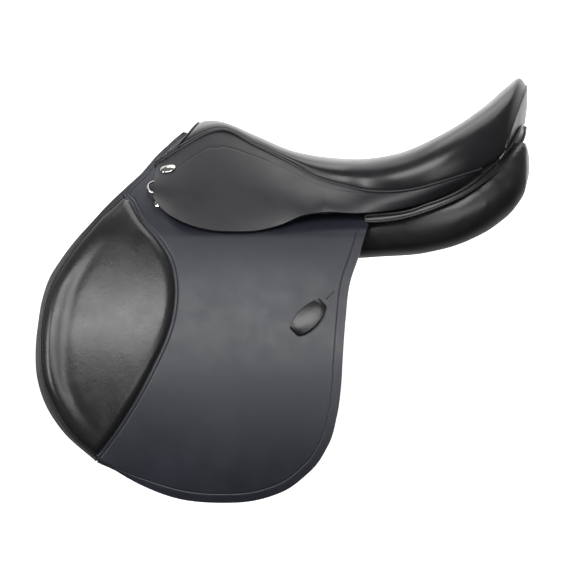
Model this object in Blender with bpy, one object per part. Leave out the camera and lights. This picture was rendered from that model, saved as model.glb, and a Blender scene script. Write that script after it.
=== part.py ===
"""An English jumping saddle with a 17 inch seat, built as a saddler builds it.

X runs from the pommel (-) to the cantle (+), Y across (the horse's left side is -) and Z up.
The origin is on the mid-plane between the two panels, where the saddle rests on its rack.
Every size in this file is in millimetres, and place() turns them into the scene's metres.
"""

import math

import bmesh
import bpy
import numpy as np
from mathutils import Matrix, Vector

MM = 0.001
GAP = 0.3  # between pieces that touch
SIDES = {"L": -1, "R": 1}

# Leather
FLAP_LEATHER = 4.5
SKIRT_LEATHER = 4.0
STRAP_LEATHER = 3.5
SWEAT_FLAP_LEATHER = 3.0
COVER_LEATHER = 3.0
FACING_LEATHER = 2.5
WELT_RADIUS = 1.7

# The flap hangs from this level, and its lower part swings about a line along X
FLAP_HINGE_Z = 22.0
FLAP_HINGE_Y = 143.0
FLAP_HINGE_GAP = 4.5
# The skirt's lobe lifts about the straight line between these two points
SKIRT_HINGE_FRONT = (-215.0, 108.0, 88.0)
SKIRT_HINGE_REAR = (-20.0, 133.0, 58.0)
SKIRT_HINGE_GAP = 2.6

# Layers under the flap, measured inwards from the middle of its leather
STRAP_DEPTH = 14.0
SWEAT_FLAP_DEPTH = 27.0

# Girth straps
STRAP_WIDTH = 25.0
STRAP_PITCH = 36.0
MIDDLE_STRAP_X = -72.0
STRAP_TOP_Z = 80.0
STRAP_PIVOT_Z = 74.0
STRAP_TIP_Z = -215.0
STRAP_HOLES = 7
STRAP_HOLE_PITCH = 24.0
STRAP_HOLE_RADIUS = 2.5

# Stirrup bar
BAR_FRONT_X = -150.0
BAR_REAR_X = -72.0
BAR_Y = 101.0
BAR_Z = 71.0
BAR_PLATE_Y = 72.0
BAR_PLATE_Z = 97.0
PIN_RADIUS = 1.2
PIN_HOLE_RADIUS = 1.55

# Tree, foam and webbing, measured inwards from the seat's outer face
FOAM_THICKNESS = 8.0
FOAM_DEPTH = COVER_LEATHER + 2.0
WEBBING_DEPTH = 16.0
WEBBING_THICKNESS = 2.0
TREE_DEPTH = 25.4
TREE_THICKNESS = 9.0
TREE_OPENING = (-120, 140)  # where the frame is open, along X
SPRING_DEPTH = 32.6
SPRING_THICKNESS = 2.2
SPRING_WIDTH = 12.0
ARCH_HALF_WIDTH = 15.0
ARCH_HALF_THICKNESS = 5.0
PLATE_HALF_WIDTH = 12.0
PLATE_HALF_THICKNESS = 1.5

# Knee pad and keeper
PAD_HALF_THICKNESS = 5.0
KEEPER_CENTRE = Vector((-39.0, 0, -62.5))
KEEPER_LENGTH = 47.0
KEEPER_RISE = 6.5
KEEPER_FOOT_GAP = 2.2

# Buckle guard
GUARD_TOP_Z = -60.0
GUARD_HEIGHT = 70.0
GUARD_HALF_DEPTH = 7.0
GUARD_LEATHER = 2.0

# Dee
DEE_WIRE = 1.3
DEE_X = -210.5
DEE_Z = 80.0
DEE_HALF_LENGTH = 9.5
DEE_REACH = 10.0

MATERIALS = {
    "seat_calf": ((0.045, 0.045, 0.049), 0.30, 0.0),
    "bridle_leather": ((0.030, 0.031, 0.036), 0.45, 0.0),
    "panel_calf": ((0.020, 0.020, 0.022), 0.34, 0.0),
    "pad_calf": ((0.035, 0.036, 0.040), 0.28, 0.0),
    "nickel": ((0.62, 0.60, 0.57), 0.18, 1.0),
    "steel": ((0.42, 0.42, 0.43), 0.35, 1.0),
    "beech": ((0.50, 0.34, 0.19), 0.55, 0.0),
    "foam": ((0.78, 0.74, 0.62), 0.90, 0.0),
    "webbing": ((0.60, 0.56, 0.46), 0.85, 0.0),
}


def clear_scene():
    for obj in list(bpy.data.objects):
        bpy.data.objects.remove(obj, do_unlink=True)


def material(name):
    made = bpy.data.materials.get(name)
    if made is None:
        colour, roughness, metallic = MATERIALS[name]
        made = bpy.data.materials.new(name)
        made.use_nodes = True
        shader = made.node_tree.nodes["Principled BSDF"]
        shader.inputs["Base Color"].default_value = (*colour, 1.0)
        shader.inputs["Roughness"].default_value = roughness
        shader.inputs["Metallic"].default_value = metallic
    return made


# ---------------------------------------------------------------- curves and surfaces


def through(stations):
    """A smooth function through rows of (t, value, ...): it gives the values at any t."""
    table = np.array(stations, float)
    ts, values = table[:, 0], table[:, 1:]
    slopes = np.gradient(values, ts, axis=0)

    def at(t):
        i = int(np.clip(np.searchsorted(ts, t) - 1, 0, len(ts) - 2))
        step = ts[i + 1] - ts[i]
        s = min(max((t - ts[i]) / step, 0.0), 1.0)
        start, end = (1 + 2 * s) * (1 - s) ** 2, s * s * (3 - 2 * s)
        leave, arrive = s * (1 - s) ** 2 * step, s * s * (s - 1) * step
        return start * values[i] + end * values[i + 1] + leave * slopes[i] + arrive * slopes[i + 1]

    return at


def route(points):
    """A smooth curve through points, as a function of the part of its length, 0 to 1."""
    table = np.array(points, float)
    lengths = np.r_[0, np.cumsum(np.linalg.norm(np.diff(table, axis=0), axis=1))]
    return through(np.c_[lengths / lengths[-1], table])


def ease(t):
    t = min(max(t, 0.0), 1.0)
    return t * t * (3 - 2 * t)


def flap_y(x, z):
    """Half width of the saddle at the middle of the flap's leather."""
    y = 192 - 55 * ((z + 190) / 217) ** 2
    if z > 27:
        forward = min(max((-60 - x) / 130, 0.0), 1.0)
        y -= 20 * forward * ((z - 27) / 86) ** 1.5
        y -= 20 * ease((z - 27) / 40) * ease((x + 200) / 35)
    return y


# Seat: u runs from the pommel to the cantle's edge, v across from -1 to 1.
# Columns: u, middle x and z, side x, y and z, then the section's shoulder, bulge, rise and lead
seat_station = through(
    (
        (0.00, -172, 158, -213, 73, 112, 0.45, 3, 16, 28),
        (0.06, -161, 165, -188, 67, 129, 0.50, 4, 16, 14),
        (0.13, -141, 165, -145, 57, 152, 0.50, 3, 8, 0),
        (0.24, -96, 147, -96, 66, 133, 0.50, 4, 9, 0),
        (0.33, -61, 132, -61, 72, 115, 0.50, 5, 12, 0),
        (0.42, -26, 124, -26, 86, 96, 0.50, 7, 21, 0),
        (0.49, 3, 121, 3, 101, 87, 0.50, 9, 28, 0),
        (0.55, 27, 120, 27, 117, 81, 0.50, 10, 38, 0),
        (0.61, 52, 122, 52, 128, 79, 0.50, 12, 48, 0),
        (0.67, 76, 127, 76, 134, 81, 0.50, 12, 57, 0),
        (0.75, 110, 142, 107, 136, 89, 0.50, 12, 66, 0),
        (0.82, 140, 160, 135, 129, 98, 0.50, 11, 72, 0),
        (0.89, 172, 185, 158, 118, 106, 0.50, 8, 72, 2),
        (0.935, 196, 206, 174, 108, 116, 0.50, 5, 62, 3),
        (0.968, 210, 216, 181, 103, 122, 0.48, 3, 46, 4),
        (1.00, 218, 208, 185, 100, 126, 0.45, 1, 28, 5),
    )
)


def seat_point(u, v, depth=0.0):
    """A point of the seat's outer face, or below it by depth."""

    def face(u, v):
        mid_x, mid_z, side_x, side_y, side_z, shoulder, bulge, rise, lead = seat_station(u)
        t, side = abs(v), math.copysign(1, v)
        middle = Vector((mid_x, 0, mid_z))
        first = Vector((mid_x, side_y * shoulder, mid_z))
        second = Vector((side_x + lead, side_y + bulge, side_z + rise))
        edge = Vector((side_x, side_y, side_z))
        weights = ((1 - t) ** 3, 3 * t * (1 - t) ** 2, 3 * t * t * (1 - t), t**3)
        point = sum((w * p for w, p in zip(weights, (middle, first, second, edge))), Vector())
        return Vector((point.x, side * point.y, point.z))

    point = face(u, v)
    if depth:
        along = face(min(u + 0.004, 1), v) - face(max(u - 0.004, 0), v)
        across = face(u, min(v + 0.01, 1)) - face(u, max(v - 0.01, -1))
        point -= depth * along.cross(across).normalized()
    return point


# The line where the seat meets the skirt: x, half width and height
WELT = (
    (-211, 73, 113), (-179, 66, 134), (-145, 57, 152), (-96, 66, 133), (-61, 72, 115), (-26, 86, 96),
    (3, 101, 87), (24, 115, 82), (47, 126, 79), (70, 133, 80), (106, 136, 89), (137, 129, 98), (157, 118, 105),
)
welt = through([(x, y, z) for x, y, z in WELT])

# The skirt's lower edge: x, half width and height
SKIRT_EDGE = (
    (-213, 118, 72), (-202, 124, 57.5), (-181.5, 134, 45), (-153, 141, 36), (-123, 143, 33.5), (-95, 141.5, 34.6),
    (-69, 138, 41), (-43, 136, 52), (-20, 134, 55), (18, 132, 54), (47, 132, 56), (76, 133, 61), (107, 129, 71),
    (138, 121, 87), (158, 114, 103),
)
skirt_edge = through([(x, y, z) for x, y, z in SKIRT_EDGE])


def skirt_y(x, z):
    """Half width at the skirt's outer face: from the welt, through the lobe's hinge line, to the edge."""
    top_y, top_z = welt(x)
    low_y, low_z = skirt_edge(x)
    front, rear = SKIRT_HINGE_FRONT, SKIRT_HINGE_REAR
    along = min(max((x - front[0]) / (rear[0] - front[0]), 0.0), 1.0)
    mid_y = front[1] + along * (rear[1] - front[1])
    mid_z = front[2] + along * (rear[2] - front[2])
    if x > rear[0]:
        behind = ease((x - rear[0]) / 60)
        mid_z += behind * ((top_z + low_z) / 2 - mid_z)
        mid_y += behind * ((top_y + low_y) / 2 + 3 - mid_y)
    knots = ((top_z, top_y), (mid_z, mid_y), (low_z, low_y))
    total = 0.0
    for i, (zi, yi) in enumerate(knots):
        weight = yi
        for j, (zj, _) in enumerate(knots):
            if i != j:
                weight *= (z - zj) / (zi - zj)
        total += weight
    return total


# Flap: x and z of its outline, from the pommel down the front and round to the rear.
# The first two rows are the two edges of its top, point against point
FLAP_FRONT_TOP = ((-180, 152), (-195, 140), (-211, 124), (-228, 102), (-247, 83), (-267, 62), (-283, 43), (-297, 26.5))
FLAP_BEHIND_TOP = ((-176, 145), (-186, 130), (-196, 112), (-197, 92), (-160, 64), (-60, 56), (25, 50), (24, 26.5))
FLAP_REAR = ((20.5, 17.5), (8, -22.6), (2.5, -65), (-1, -109), (-3, -140), (-7.5, -171), (-18, -205), (-39, -234), (-70, -256), (-120, -267))
FLAP_FRONT = ((-304, 17.5), (-316, 0), (-326, -17), (-334, -42), (-338, -70), (-340, -98), (-338, -128), (-329, -157), (-310, -187), (-276, -218))
PAD_SEAM = ((-209, 17.5), (-197.5, 0), (-191.5, -26), (-192.5, -57), (-199.5, -84.5), (-213, -115), (-232, -152), (-255, -188), (-270, -210))
FLAP_FOOT = (-190, -261)


# ---------------------------------------------------------------- making meshes


def place(bm, name, finish, origin=(0, 0, 0)):
    """The object of a mesh that is in millimetres, with its origin where it turns."""
    bmesh.ops.remove_doubles(bm, verts=bm.verts, dist=1e-4)
    bmesh.ops.recalc_face_normals(bm, faces=bm.faces)
    bmesh.ops.transform(bm, matrix=Matrix.Scale(MM, 4) @ Matrix.Translation(-Vector(origin)), verts=bm.verts)
    mesh = bpy.data.meshes.new(name)
    bm.to_mesh(mesh)
    bm.free()
    mesh.shade_smooth()
    mesh.set_sharp_from_angle(angle=math.radians(40))
    mesh.materials.append(material(finish))
    obj = bpy.data.objects.new(name, mesh)
    obj.location = Vector(origin) * MM
    bpy.context.scene.collection.objects.link(obj)
    return obj


def grid(columns, rows, point):
    """A grid with point(u, v) at its vertices, u and v from 0 to 1."""
    bm = bmesh.new()
    bmesh.ops.create_grid(bm, x_segments=columns, y_segments=rows, size=0.5)
    for vert in bm.verts:
        vert.co = point(vert.co.x + 0.5, vert.co.y + 0.5)
    return bm


def thicken(obj, thickness, offset=0.0):
    solidify = obj.modifiers.new("Leather", "SOLIDIFY")
    solidify.thickness = thickness * MM
    solidify.offset = offset


def sheet(name, finish, columns, rows, point, thickness, origin=(0, 0, 0)):
    """A sheet of leather or webbing with point(u, v) on the middle of its thickness."""
    obj = place(grid(columns, rows, point), name, finish, origin)
    thicken(obj, thickness)
    return obj


def tube(name, finish, around, along, point, origin=(0, 0, 0)):
    """A closed form: point(u, v) goes round it with u and along it with v."""
    bm = grid(around, along, point)
    bmesh.ops.remove_doubles(bm, verts=bm.verts, dist=1e-4)
    bmesh.ops.holes_fill(bm, edges=[edge for edge in bm.edges if edge.is_boundary], sides=0)
    return place(bm, name, finish, origin)


def ring(u, half_width, half_height, squareness=1.0):
    """A point of an oval, or with a squareness below 1 of a rounded rectangle."""
    angle = 2 * math.pi * (u + 0.0625)
    across, up = math.cos(angle), math.sin(angle)
    return (
        half_width * math.copysign(abs(across) ** squareness, across),
        half_height * math.copysign(abs(up) ** squareness, up),
    )


def rod(name, finish, path, half_width, half_height, up, around=8, along=12, squareness=1.0, origin=(0, 0, 0)):
    """A strip or cord along path(v), with its flat side square to up(v)."""

    def point(u, v):
        here = Vector(path(v))
        ahead = Vector(path(min(v + 0.01, 1))) - Vector(path(max(v - 0.01, 0)))
        across = ahead.cross(Vector(up(v))).normalized()
        rise = across.cross(ahead).normalized()
        a, b = ring(u, half_width, half_height, squareness)
        return here + across * a + rise * b

    return tube(name, finish, around, along, point, origin)


def box(bm, low, high):
    centre = (Vector(low) + Vector(high)) / 2
    size = Vector(high) - Vector(low)
    matrix = Matrix.Translation(centre) @ Matrix.Diagonal((*size, 1))
    return bmesh.ops.create_cube(bm, size=1, matrix=matrix)["verts"]


def cylinder(bm, centre, axis, radius, length, segments=12, radius_end=None):
    turn = Vector((0, 0, 1)).rotation_difference(Vector(axis)).to_matrix().to_4x4()
    bmesh.ops.create_cone(
        bm, cap_ends=True, segments=segments, radius1=radius, depth=length,
        radius2=radius if radius_end is None else radius_end, matrix=Matrix.Translation(Vector(centre)) @ turn,
    )


def boolean(obj, operation, tool):
    tool.hide_render = True
    tool.display_type = "WIRE"
    modifier = obj.modifiers.new(operation.title(), "BOOLEAN")
    modifier.operation = operation
    modifier.solver = "EXACT"
    modifier.object = tool


def on_flap(side, x, z, depth=0.0):
    return Vector((x, side * (flap_y(x, z) - depth), z))


def between(edge_a, edge_b, u, v):
    """A point of the surface ruled between two outlines, each a function of v."""
    return (1 - u) * edge_a(v) + u * edge_b(v)


# ---------------------------------------------------------------- tree


def build_tree():
    bm = grid(20, 12, lambda u, v: seat_point(0.12 + 0.78 * u, 1.72 * (v - 0.5), TREE_DEPTH))
    open_middle = []
    for face in bm.faces:
        x, y, _ = face.calc_center_median()
        if abs(y) < 0.58 * welt(x)[0] and TREE_OPENING[0] < x < TREE_OPENING[1]:
            open_middle.append(face)
    bmesh.ops.delete(bm, geom=open_middle, context="FACES")
    thicken(place(bm, "tree_frame", "beech"), TREE_THICKNESS)

    arch = route(((-168, 0, 134), (-172, 28, 127), (-178, 52, 108), (-182, 70, 84), (-180, 84, 62)))

    def arch_path(v):
        x, y, z = arch(abs(2 * v - 1))
        return Vector((x, math.copysign(y, v - 0.5), z))

    def outward(v):
        ahead = arch_path(min(v + 0.01, 1)) - arch_path(max(v - 0.01, 0))
        return Vector((1, 0, 0)).cross(ahead).normalized()

    def under_arch(v):
        below = ARCH_HALF_THICKNESS + PLATE_HALF_THICKNESS + 0.7
        return arch_path(0.2 + 0.6 * v) - below * outward(0.2 + 0.6 * v)

    rod("tree_head", "beech", arch_path, ARCH_HALF_WIDTH, ARCH_HALF_THICKNESS, outward, along=18, squareness=0.4)
    rod(
        "gullet_plate", "steel", under_arch, PLATE_HALF_WIDTH, PLATE_HALF_THICKNESS,
        lambda v: outward(0.2 + 0.6 * v), squareness=0.3,
    )
    for name, side in SIDES.items():

        def spring(u, v, side=side):
            along = 0.22 + 0.56 * v
            outer, inner = (seat_point(along, side * share, SPRING_DEPTH) for share in (0.71, 0.65))
            across = (outer - inner).normalized()
            return (outer + inner) / 2 + across * (u - 0.5) * SPRING_WIDTH

        sheet(f"tree_spring_{name}", "steel", 2, 12, spring, SPRING_THICKNESS)


# ---------------------------------------------------------------- seat


def build_seat():
    cover = place(grid(24, 12, lambda u, v: seat_point(u, 2 * v - 1)), "seat_cover", "seat_calf")
    thicken(cover, COVER_LEATHER, offset=-1)
    foam = grid(20, 10, lambda u, v: seat_point(0.10 + 0.85 * u, 1.80 * (v - 0.5), FOAM_DEPTH))
    thicken(place(foam, "seat_foam", "foam"), FOAM_THICKNESS, offset=-1)

    def webbing(u, v):
        return seat_point(0.14 + 0.72 * u, 1.6 * (v - 0.5), WEBBING_DEPTH)

    sheet("seat_webbing", "webbing", 12, 8, webbing, WEBBING_THICKNESS)
    for name, side in SIDES.items():
        rod(
            f"seat_welt_{name}", "bridle_leather",
            lambda v, side=side: seat_point(0.89 * v, side, 0) + Vector((0, side * 1.6, -2.9)),
            WELT_RADIUS, WELT_RADIUS, lambda v: (0, 0, 1), around=6, along=26,
        )

    def cantle_back(u, v):
        across = 2 * u - 1
        top = seat_point(1, across, COVER_LEATHER / 2)
        low = Vector((216 - 46 * abs(across) ** 1.8, 101 * across, 164 - 59 * abs(across) ** 1.6))
        edge = (top - seat_point(0.99, across, COVER_LEATHER / 2)).normalized()
        return (top + (2.7 + 2.0 * across**8) * edge).lerp(low, v)

    sheet("cantle_facing", "bridle_leather", 16, 4, cantle_back, FACING_LEATHER)


# ---------------------------------------------------------------- skirts


def skirt_point(side, x, z):
    return Vector((x, side * (skirt_y(x, z) - SKIRT_LEATHER / 2), z))


def skirt_hinge_z(x):
    front, rear = SKIRT_HINGE_FRONT, SKIRT_HINGE_REAR
    return front[2] + (x - front[0]) / (rear[0] - front[0]) * (rear[2] - front[2])


def build_skirt(name, side):
    top = route([(x, z - 6) for x, _, z in WELT])
    hinge = [(x, skirt_hinge_z(x) + SKIRT_HINGE_GAP) for x in (-214, -165, -118, -70, -30)]
    low = route(hinge + [(x, z) for x, _, z in SKIRT_EDGE if x > 0])

    def fixed(u, v):
        x, z = between(top, low, u, v)
        return skirt_point(side, x, z)

    sheet(f"skirt_{name}", "bridle_leather", 5, 26, fixed, SKIRT_LEATHER)

    hinge_line = route([(x, skirt_hinge_z(x) - SKIRT_HINGE_GAP) for x in (-214, -165, -118, -70, -34)])
    lobe_edge = route([(-213.6, 77)] + [(x, z) for x, _, z in SKIRT_EDGE if x < -42] + [(-36, 54.5)])

    def lobe(u, v):
        x, z = between(hinge_line, lobe_edge, u, v)
        return skirt_point(side, x, z)

    front, rear = SKIRT_HINGE_FRONT, SKIRT_HINGE_REAR
    origin = (front[0], side * front[1], front[2])
    sheet(f"skirt_lobe_{name}", "bridle_leather", 4, 18, lobe, SKIRT_LEATHER, origin)

    bm = bmesh.new()
    centre = Vector((-198, side * skirt_y(-198, 105), 105))
    outward = face_normal(lambda x, z: skirt_y(x, z), side, -198, 105)
    cylinder(bm, centre + outward * (GAP + 1.9), outward, 7, 2.4, 16, radius_end=4.5)
    turn = Matrix.Rotation(math.radians(20) * side, 4, outward)
    stretch = turn @ Matrix.Diagonal((1.3, 1, 0.95, 1)) @ turn.inverted()
    bmesh.ops.transform(
        bm, matrix=Matrix.Translation(centre) @ stretch @ Matrix.Translation(-centre), verts=bm.verts
    )
    place(bm, f"stud_{name}", "nickel")


def face_normal(width, side, x, z):
    """Which way a surface faces, where width(x, z) is its distance from the mid-plane."""
    step = 0.5
    along = Vector((2 * step, side * (width(x + step, z) - width(x - step, z)), 0))
    up = Vector((0, side * (width(x, z + step) - width(x, z - step)), 2 * step))
    return (along.cross(up) * -side).normalized()


# ---------------------------------------------------------------- flaps


def build_flap(name, side):
    """The flap's fixed top, its swinging part, the padded knee area and the keeper for the leather's end."""
    hinge = (-120, side * FLAP_HINGE_Y, FLAP_HINGE_Z)
    last = len(FLAP_FRONT_TOP) - 1
    front_top = through([(i / last, x, z) for i, (x, z) in enumerate(FLAP_FRONT_TOP)])
    behind_top = through([(i / last, x, z) for i, (x, z) in enumerate(FLAP_BEHIND_TOP)])

    def fixed(u, v):
        x, z = between(front_top, behind_top, u, v)
        return on_flap(side, x, z)

    sheet(f"flap_top_{name}", "bridle_leather", 8, 14, fixed, FLAP_LEATHER)

    seam = route(PAD_SEAM + ((-240, -238), FLAP_FOOT))
    rear = route(FLAP_REAR)

    def swinging(u, v):
        x, z = between(seam, rear, u, v)
        return on_flap(side, x, z)

    sheet(f"flap_{name}", "bridle_leather", 8, 14, swinging, FLAP_LEATHER, hinge)

    front, pad_seam = route(FLAP_FRONT), route([(x - 4, z) for x, z in PAD_SEAM])

    def pad(u, v):
        a, b = ring(u, 1, 1, 0.7)
        x, z = between(front, pad_seam, (a + 1) / 2, v)
        thickness = PAD_HALF_THICKNESS * (0.45 + 0.55 * ease(v * 6))
        return on_flap(side, x, z, -1.5 - thickness * b)

    tube(f"knee_pad_{name}", "pad_calf", 12, 12, pad, hinge)

    slope = Vector((1, 0, 1)).normalized()

    def keeper_path(v):
        here = KEEPER_CENTRE + slope * (v - 0.5) * KEEPER_LENGTH
        lift = FLAP_LEATHER / 2 + 1.5 + KEEPER_FOOT_GAP + KEEPER_RISE * (1 - (2 * v - 1) ** 4)
        return on_flap(side, here.x, here.z, -lift)

    rod(f"keeper_{name}", "bridle_leather", keeper_path, 12, 1.5, lambda v: (0, side, 0), squareness=0.3, origin=hinge)


# ---------------------------------------------------------------- under the flap


def build_sweat_flap(name, side):
    front = route(((-262, 50), (-285, 32), (-306, 12), (-325, -22), (-338, -60), (-342, -98), (-339, -130), (-325, -165), (-296, -200), (-262, -224)))
    rear = route(((12, 24), (11, 5), (4, -20), (-4, -70), (-8, -120), (-12, -165), (-26, -205), (-60, -238), (-120, -252), (-190, -248)))

    def under(u, v):
        x, z = between(front, rear, u, v)
        return on_flap(side, x, z, SWEAT_FLAP_DEPTH)

    sheet(f"sweat_flap_{name}", "bridle_leather", 8, 12, under, SWEAT_FLAP_LEATHER)

    block_front = route(((-268, 5), (-296, -25), (-312, -65), (-314, -105), (-300, -145)))
    block_rear = route(((-244, 5), (-256, -25), (-262, -65), (-262, -105), (-262, -145)))

    def block(u, v):
        a, b = ring(u, 1, 1, 0.7)
        x, z = between(block_front, block_rear, (a + 1) / 2, v)
        taper = 0.4 + 0.6 * math.sin(math.pi * v) ** 0.5 if 0 < v < 1 else 0.4
        return on_flap(side, x, z, SWEAT_FLAP_DEPTH - SWEAT_FLAP_LEATHER / 2 - GAP - 7 * (1 + b) * taper)

    tube(f"knee_block_{name}", "pad_calf", 10, 8, block)


def strap_x(number):
    return MIDDLE_STRAP_X + number * STRAP_PITCH


def build_straps(name, side):
    """Three girth straps, with punched holes, and the guard that slides along the middle one."""
    for label, number in (("front", -1), ("middle", 0), ("rear", 1)):
        centre = strap_x(number)

        def strap(u, v, centre=centre):
            z = STRAP_TOP_Z + v * (STRAP_TIP_Z - STRAP_TOP_Z)
            width = STRAP_WIDTH * (1 - 0.5 * max(0.0, 1 - (z - STRAP_TIP_Z) / 14) ** 2)
            x = centre + (u - 0.5) * width
            return on_flap(side, strap_x(0), z, STRAP_DEPTH) + Vector((x - strap_x(0), 0, 0))

        pivot = (centre, side * (flap_y(strap_x(0), STRAP_PIVOT_Z) - STRAP_DEPTH), STRAP_PIVOT_Z)
        obj = sheet(f"girth_strap_{label}_{name}", "bridle_leather", 2, 14, strap, STRAP_LEATHER, pivot)
        bm = bmesh.new()
        for hole in range(STRAP_HOLES):
            z = STRAP_TIP_Z + 26 + hole * STRAP_HOLE_PITCH
            outward = face_normal(flap_y, side, strap_x(0), z)
            middle = on_flap(side, strap_x(0), z, STRAP_DEPTH) + Vector((centre - strap_x(0), 0, 0))
            cylinder(bm, middle, outward, STRAP_HOLE_RADIUS, 12, 8)
        punch = place(bm, f"punch_{label}_{name}", "steel")
        boolean(obj, "DIFFERENCE", punch)

    half_width = STRAP_PITCH + STRAP_WIDTH / 2 + 4.5

    def guard(u, v):
        a, b = ring(u, half_width, GUARD_HALF_DEPTH, 0.25)
        z = GUARD_TOP_Z - v * GUARD_HEIGHT
        return on_flap(side, strap_x(0), z, STRAP_DEPTH - b) + Vector((a, 0, 0))

    bm = grid(24, 4, guard)
    obj = place(bm, f"buckle_guard_{name}", "bridle_leather")
    thicken(obj, GUARD_LEATHER)


# ---------------------------------------------------------------- panels


panel_station = through(
    (
        (0.00, -208, 66, 62, 34, 6, 50),
        (0.05, -200, 66, 58, 44, 11, 50),
        (0.16, -150, 60, 46, 43, 14, 46),
        (0.28, -100, 60, 40, 43, 16, 42),
        (0.40, -50, 62, 34, 43, 18, 34),
        (0.52, 0, 66, 32, 43, 21, 22),
        (0.64, 50, 72, 36, 46, 26, 10),
        (0.75, 100, 74, 43, 47, 30, 0),
        (0.86, 150, 70, 59, 44, 30, -4),
        (0.93, 182, 62, 78, 39, 29, -10),
        (0.98, 206, 54, 97, 29, 24, -12),
        (1.00, 215, 50, 104, 15, 12, -12),
    )
)


def panel_point(side, u, v):
    x, y, z, half_width, half_height, tilt = panel_station(v)
    a, b = ring(u, half_width, half_height, 0.75)
    turn = math.radians(tilt)
    return Vector((
        x,
        side * (y + a * math.cos(turn) + b * math.sin(turn)),
        z - a * math.sin(turn) + b * math.cos(turn),
    ))


# The laced seam along the top of the panel: x, half width and height
PANEL_SEAM = (
    (30, 124, 46), (64, 128, 50), (100, 128, 60), (137, 122, 76), (169, 108, 97), (193, 84, 118), (210, 50, 140),
    (218, 12, 160),
)


def build_panels(name, side):
    tube(f"panel_{name}", "panel_calf", 16, 22, lambda u, v: panel_point(side, u, v))
    seam = route([(x, side * y, z) for x, y, z in PANEL_SEAM])
    rod(
        f"panel_seam_{name}", "bridle_leather", seam, 3.4, 1.4,
        lambda v: (0.5 * v, side * (1 - 0.6 * v), -0.1), around=8, along=20, squareness=0.6,
    )


def build_linings():
    """The leather inside the arch, and the strip over the channel between the panels."""
    arch = route(((0, 119), (18, 114.5), (30, 105), (35, 97)))

    def under_head(u, v):
        y, z = arch(abs(2 * u - 1))
        return Vector((-196 + 34 * v, math.copysign(y, u - 0.5), z - 0.15 * (1 - v) * (z - 70)))

    sheet("arch_lining", "bridle_leather", 14, 3, under_head, FACING_LEATHER)
    height = through(((-158, 108), (-110, 92), (-60, 78), (0, 70), (60, 74), (120, 92), (170, 118), (205, 140)))

    def channel(u, v):
        x, across = -158 + 363 * u, 2 * v - 1
        return Vector((x, 24 * across, height(x)[0] - 7 * across**2))

    sheet("gullet_lining", "webbing", 20, 6, channel, FACING_LEATHER)


# ---------------------------------------------------------------- metalwork


def build_stirrup_bar(name, side):
    """A forged bar: a plate on the tree's rail, two arms and the finger, with its hinged catch."""
    bm = bmesh.new()
    box(bm, (BAR_FRONT_X, side * (BAR_PLATE_Y - 2), BAR_PLATE_Z - 9), (BAR_REAR_X + 16, side * (BAR_PLATE_Y + 2), BAR_PLATE_Z + 9))
    plate = place(bm, f"stirrup_bar_{name}", "nickel")

    bm = bmesh.new()
    box(bm, (BAR_FRONT_X, side * (BAR_Y - 4), BAR_Z - 5), (BAR_REAR_X - 8, side * (BAR_Y + 4), BAR_Z + 5))
    finger = place(bm, f"bar_finger_{name}", "nickel")
    boolean(plate, "UNION", finger)

    bm = bmesh.new()
    box(bm, (BAR_REAR_X - 10, side * (BAR_Y - 1.5), BAR_Z - 4), (BAR_REAR_X + 3, side * (BAR_Y + 1.5), BAR_Z + 4))
    tongue = place(bm, f"bar_tongue_{name}", "nickel")
    boolean(plate, "UNION", tongue)

    bm = bmesh.new()
    reach = Vector((0, side * (BAR_Y - BAR_PLATE_Y), BAR_Z - BAR_PLATE_Z))
    verts = box(bm, (BAR_FRONT_X, -5, -reach.length / 2 - 1), (BAR_FRONT_X + 12, 5, reach.length / 2 + 1))
    turn = Vector((0, 0, 1)).rotation_difference(reach.normalized()).to_matrix().to_4x4()
    middle = Vector((0, side * (BAR_Y + BAR_PLATE_Y) / 2, (BAR_Z + BAR_PLATE_Z) / 2))
    bmesh.ops.transform(bm, matrix=Matrix.Translation(middle) @ turn, verts=verts)
    arm = place(bm, f"bar_arm_{name}", "nickel")
    boolean(plate, "UNION", arm)

    pin_centre = (BAR_REAR_X, side * BAR_Y, BAR_Z)
    bm = bmesh.new()
    cylinder(bm, pin_centre, (0, 1, 0), PIN_HOLE_RADIUS, 20, 12)
    hole = place(bm, f"pin_hole_{name}", "steel")
    boolean(plate, "DIFFERENCE", hole)

    bm = bmesh.new()
    box(bm, (BAR_REAR_X - 4, side * (BAR_Y - 4), BAR_Z - 4), (BAR_REAR_X + 15, side * (BAR_Y + 4), BAR_Z + 4))
    catch = place(bm, f"bar_catch_{name}", "nickel", pin_centre)
    bm = bmesh.new()
    box(bm, (BAR_REAR_X - 6, side * (BAR_Y - 1.9), BAR_Z - 6), (BAR_REAR_X + 6.5, side * (BAR_Y + 1.9), BAR_Z + 6))
    fork = place(bm, f"fork_{name}", "steel")
    boolean(catch, "DIFFERENCE", fork)
    boolean(catch, "DIFFERENCE", hole)

    bm = bmesh.new()
    cylinder(bm, pin_centre, (0, 1, 0), PIN_RADIUS, 9, 12)
    place(bm, f"catch_pin_{name}", "steel", pin_centre)

    for label, x in (("front", BAR_FRONT_X + 20), ("rear", BAR_REAR_X + 6)):
        bm = bmesh.new()
        cylinder(bm, (x, side * (BAR_PLATE_Y + 2 + GAP + 1), BAR_PLATE_Z + 2), (0, side, 0), 4, 2, 12, radius_end=2.6)
        place(bm, f"bar_rivet_{label}_{name}", "steel")


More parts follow.
